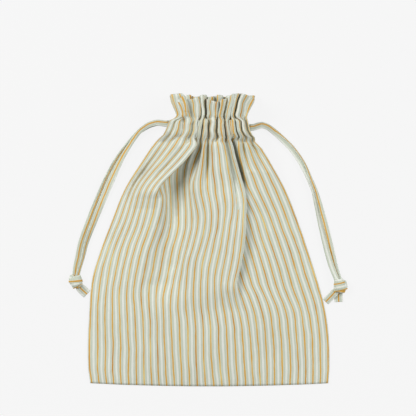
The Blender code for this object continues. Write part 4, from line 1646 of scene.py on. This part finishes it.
@dataclass
class Drawstring:
    """One cord: its hidden run, its two free legs, the knot that joins them, and its tails."""

    side: Side
    legs: Sequence[LegPoint]
    run_y: float
    run_drift: float
    knot_at: Point
    knot: Sequence[KnotBand]
    tails: Sequence[Tail]
    slides: Sequence[tuple[float, float]]
    leg_step: float = 2.0
    tail_step: float = 1.0
    tail_thickness: float = 1.5
    tail_root: float = 0.7
    tail_root_steps: float = 6.0
    band_steps: int = 48
    band_columns: int = 17
    band_thickness: float = 0.9
    band_edge_drop: float = 0.42
    band_edge_curve: float = 2.6
    band_rumple: float = 0.28
    band_rumples: float = 9.0
    band_length: float = 5.5
    band_lowest: float = 0.8

    @property
    def word(self) -> str:
        """The side's name in the nodes' names."""
        return self.side.name.lower()

    def run_route(self) -> list[Point]:
        """The cord's way round inside the casing.

        Returns:
            The route, from the slit round the far turn and back.
        """
        sign = self.side.value
        radius = (FRONT_RUN_HEIGHT - BACK_RUN_HEIGHT) / 2
        middle = (FRONT_RUN_HEIGHT + BACK_RUN_HEIGHT) / 2
        far = -sign * TURN_AT
        y = self.run_y
        route = [(sign * point.x, y + self.run_drift * point.drift, point.z) for point in RUN_EXIT]
        route += [(0.0, y, FRONT_RUN_HEIGHT), (far, y, FRONT_RUN_HEIGHT)]
        for k in range(1, TURN_STEPS):
            angle = math.pi * k / TURN_STEPS
            route.append((far - sign * radius * math.sin(angle), y, middle + radius * math.cos(angle)))
        route += [(far, y, BACK_RUN_HEIGHT), (0.0, y, BACK_RUN_HEIGHT)]
        route += [(sign * point.x, y + self.run_drift * point.drift, BACK_RUN_HEIGHT)
                  for point in reversed(RUN_EXIT)]
        return route

    def build(self, cotton: bpy.types.Material) -> None:
        """Args:
            cotton: the tape's material.
        """
        run = self.run_route()
        run_tape = tape_object(f"{self.word}_run", run, [RUN_WIDTH] * len(run), [0.0] * len(run),
                               RUN_THICKNESS, cotton, fixed_side=Vector((0.0, 1.0, 0.0)))
        declare(run_tape, f"{self.word}_cord_run")
        knot = self.build_knot(cotton)
        tails = [self.build_tail(tail, cotton) for tail in self.tails]
        upper = [(p.x, p.y, p.z, p.wide, p.roll) for p in self.legs]
        lower = [(p.x + p.lower_dx, p.y + p.lower_dy, p.lower_z, p.lower_wide, p.lower_roll)
                 for p in self.legs]
        self.build_leg("front", upper, self.slides[0], cotton)
        self.build_leg("back", lower, self.slides[1], cotton)

    def build_leg(self, word: str, line: Sequence[tuple[float, ...]], slide: tuple[float, float],
                  cotton: bpy.types.Material) -> None:
        """Args:
            word: the leg's word in its names.
            line: x, y, z, width and roll at each of the leg's points.
            slide: how far the stripes are moved across the tape at its start and its end.
            cotton: the tape's material.
        """
        places = [point[:3] for point in line]
        marks = [k / (len(line) - 1) for k in range(len(line))]
        route = smooth_route(places, self.leg_step)
        shares = self.point_shares(places, marks)
        widths, rolls = (np.interp(shares, marks, [point[column] for point in line]).tolist()
                         for column in (3, 4))
        leg = tape_object(f"{self.word}_{word}_leg", route, widths, rolls, TAPE_THICKNESS, cotton,
                          slides=np.interp(shares, (0.0, 1.0), slide).tolist())
        declare(leg, f"{self.word}_cord_{word}_leg")
        LOG.info("%s leg of the %s cord: %.0f mm", word, self.word, route_length(route))

    def point_shares(self, places: Sequence[Point], marks: Sequence[float]) -> list[float]:
        """How far along the leg's own points each point of its finer route is.

        Args:
            places: the leg's own points.
            marks: how far along the leg each of them counts as, from 0 to 1.

        Returns:
            A share from 0 to 1 for each point of the finer route.
        """
        shares = []
        for start, end, low, high in zip(places, places[1:], marks, marks[1:]):
            pieces = max(1, int(round(math.dist(start, end) / self.leg_step)))
            shares += [low + (high - low) * k / pieces for k in range(pieces)]
        return [*shares, 1.0]

    def build_knot(self, cotton: bpy.types.Material) -> bpy.types.Object:
        """Build the knot: bands of the tape that lie over one another.

        Args:
            cotton: the tape's material.

        Returns:
            The knot.
        """
        shape = Shape()
        for band in self.knot:
            self.add_band(band, shape)
        knot = shape.make(f"{self.word}_knot_tape", cotton)
        thicken(knot, self.band_thickness)
        declare(knot, f"{self.word}_knot")
        return knot

    def add_band(self, band: KnotBand, shape: Shape) -> None:
        """Add one band as a closed loop round the knot, its edges turned down.

        Args:
            band: the band.
            shape: the knot's mesh, added to.
        """
        first = len(shape.points)
        across = np.linspace(0.0, 1.0, self.band_columns)
        left, right = (np.array([np.interp(across, BAND_MARKS, column) for column in zip(*edge)])
                       for edge in (band.left, band.right))
        stripes = np.interp(across, BAND_MARKS, band.stripes)
        crown = 1.0 - self.band_edge_drop * np.abs(2.0 * across - 1.0) ** self.band_edge_curve
        for step in range(self.band_steps):
            angle = 2 * math.pi * step / self.band_steps
            for j in range(self.band_columns):
                x, y = (left[:, j] + right[:, j]) / 2 - (right[:, j] - left[:, j]) / 2 * math.cos(angle)
                rumple = self.band_rumple * math.sin(self.band_rumples * across[j] + 2.0 * math.cos(angle))
                rise = (band.height * float(crown[j]) + rumple * math.sin(angle)) * math.sin(angle)
                z = max(self.band_lowest, self.knot_at[2] + rise)
                shape.points.append((self.knot_at[0] + x, self.knot_at[1] + y, z))
                shape.places.append((float(stripes[j]), self.band_length * angle))
        for step in range(self.band_steps):
            for j in range(self.band_columns - 1):
                a = first + step * self.band_columns + j
                b = first + (step + 1) % self.band_steps * self.band_columns + j
                shape.faces.append((a, a + 1, b + 1, b))

    def build_tail(self, tail: Tail, cotton: bpy.types.Material) -> bpy.types.Object:
        """Build one tail that comes out of the knot, narrower where it does.

        Args:
            tail: the tail.
            cotton: the tape's material.

        Returns:
            The tail's tape.
        """
        route = smooth_route(tail.route, self.tail_step)
        wider = [float(smooth(k / self.tail_root_steps)) for k in range(len(route))]
        widths = [tail.width * (self.tail_root + (1.0 - self.tail_root) * share) for share in wider]
        tape = tape_object(f"{tail.node}_tape", route, widths, [0.0] * len(route), self.tail_thickness,
                           cotton)
        declare(tape, tail.node)
        return tape


class Lamp(NamedTuple):
    """A square soft light, in metres and watts."""

    name: str
    place: Point
    size: float
    power: float


@dataclass
class Studio:
    """The floor, the camera straight above, and soft light from both sides, more from the left."""

    focal_length: float = 120.0
    sensor_width: float = 36.0
    floor_size: float = 4.0
    floor_shade: float = 0.05
    floor_glow: float = 0.868
    sky: float = 0.18
    lamps: tuple[Lamp, ...] = (
        Lamp("key", (-1.4, 0.7, 1.4), 0.9, 35.0),
        Lamp("fill", (1.5, 0.3, 1.3), 0.9, 23.5),
    )
    lamps_aim: Point = (0.0, 0.03, 0.0)

    def build(self) -> None:
        """Set the floor, camera and lights."""
        self.add_floor()
        self.add_camera()
        self.add_lights()

    def add_floor(self) -> None:
        """A plain pale floor."""
        half = self.floor_size / 2
        data = bpy.data.meshes.new("floor")
        data.from_pydata([(-half, -half, 0.0), (half, -half, 0.0), (half, half, 0.0), (-half, half, 0.0)],
                         [], [(0, 1, 2, 3)])
        floor = bpy.data.objects.new("floor", data)
        bpy.context.scene.collection.objects.link(floor)
        material = bpy.data.materials.new("pale_floor")
        material.use_nodes = True
        shader = material.node_tree.nodes["Principled BSDF"]
        shade = self.floor_shade
        shader.inputs["Base Color"].default_value = (shade, shade, shade, 1.0)
        shader.inputs["Roughness"].default_value = 1.0
        shader.inputs["Specular IOR Level"].default_value = 0.0
        shader.inputs["Emission Color"].default_value = (1.0, 1.0, 1.0, 1.0)
        shader.inputs["Emission Strength"].default_value = self.floor_glow
        data.materials.append(material)

    def add_camera(self) -> None:
        """A camera straight above the middle of the photograph."""
        distance = VIEW_HALF_WIDTH * MM * self.focal_length / (self.sensor_width / 2)
        data = bpy.data.cameras.new("camera")
        data.lens = self.focal_length
        data.sensor_width = self.sensor_width
        camera = bpy.data.objects.new("camera", data)
        camera.location = (VIEW_MIDDLE_X * MM, VIEW_MIDDLE_Y * MM, distance)
        bpy.context.scene.collection.objects.link(camera)
        bpy.context.scene.camera = camera

    def add_lights(self) -> None:
        """The two soft lights, and an even sky."""
        scene = bpy.context.scene
        scene.view_settings.view_transform = "Standard"
        world = bpy.data.worlds.new("studio")
        world.use_nodes = True
        background = world.node_tree.nodes["Background"]
        background.inputs["Color"].default_value = (1.0, 1.0, 1.0, 1.0)
        background.inputs["Strength"].default_value = self.sky
        scene.world = world
        for lamp in self.lamps:
            data = bpy.data.lights.new(lamp.name, "AREA")
            data.size = lamp.size
            data.energy = lamp.power
            light = bpy.data.objects.new(lamp.name, data)
            light.location = lamp.place
            direction = Vector(self.lamps_aim) - Vector(lamp.place)
            light.rotation_euler = direction.to_track_quat("-Z", "Y").to_euler()
            scene.collection.objects.link(light)


def main() -> None:
    """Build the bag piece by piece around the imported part."""
    logging.basicConfig(level=logging.INFO, format="%(message)s")
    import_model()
    cotton = StripedCotton("striped_cotton_cloth").material()
    tape_cotton = StripedCotton("striped_cotton_tape", first=0.0).material()

    Studio().build()
    Drawstring(Side.LEFT, LEFT_LEGS, run_y=115.6, run_drift=0.0, knot_at=(-133.0, -41.4, 4.6),
               knot=LEFT_KNOT, tails=LEFT_TAILS, slides=((-1.2, 0.4), (0.0, 0.0))).build(tape_cotton)
    Drawstring(Side.RIGHT, RIGHT_LEGS, run_y=107.6, run_drift=4.2, knot_at=(131.0, -45.2, 4.6),
               knot=RIGHT_KNOT, tails=RIGHT_TAILS, slides=((0.8, 3.9), (0.0, 0.0))).build(tape_cotton)

    thread = SewingThread("pale_sewing_thread").material()
    for word, panel, face in (("front", FrontPanel(), Face.UP), ("back", BackPanel(), Face.DOWN)):
        cloth = panel.build(cotton)
        sewing = StitchRows(f"{word}_sewing", panel, face).build(thread)
        for piece in (cloth, sewing):
            declare(piece, f"{word}_panel")
        LOG.info("%s panel: %d faces", word, len(cloth.data.polygons))


if __name__ == "__main__":
    main()
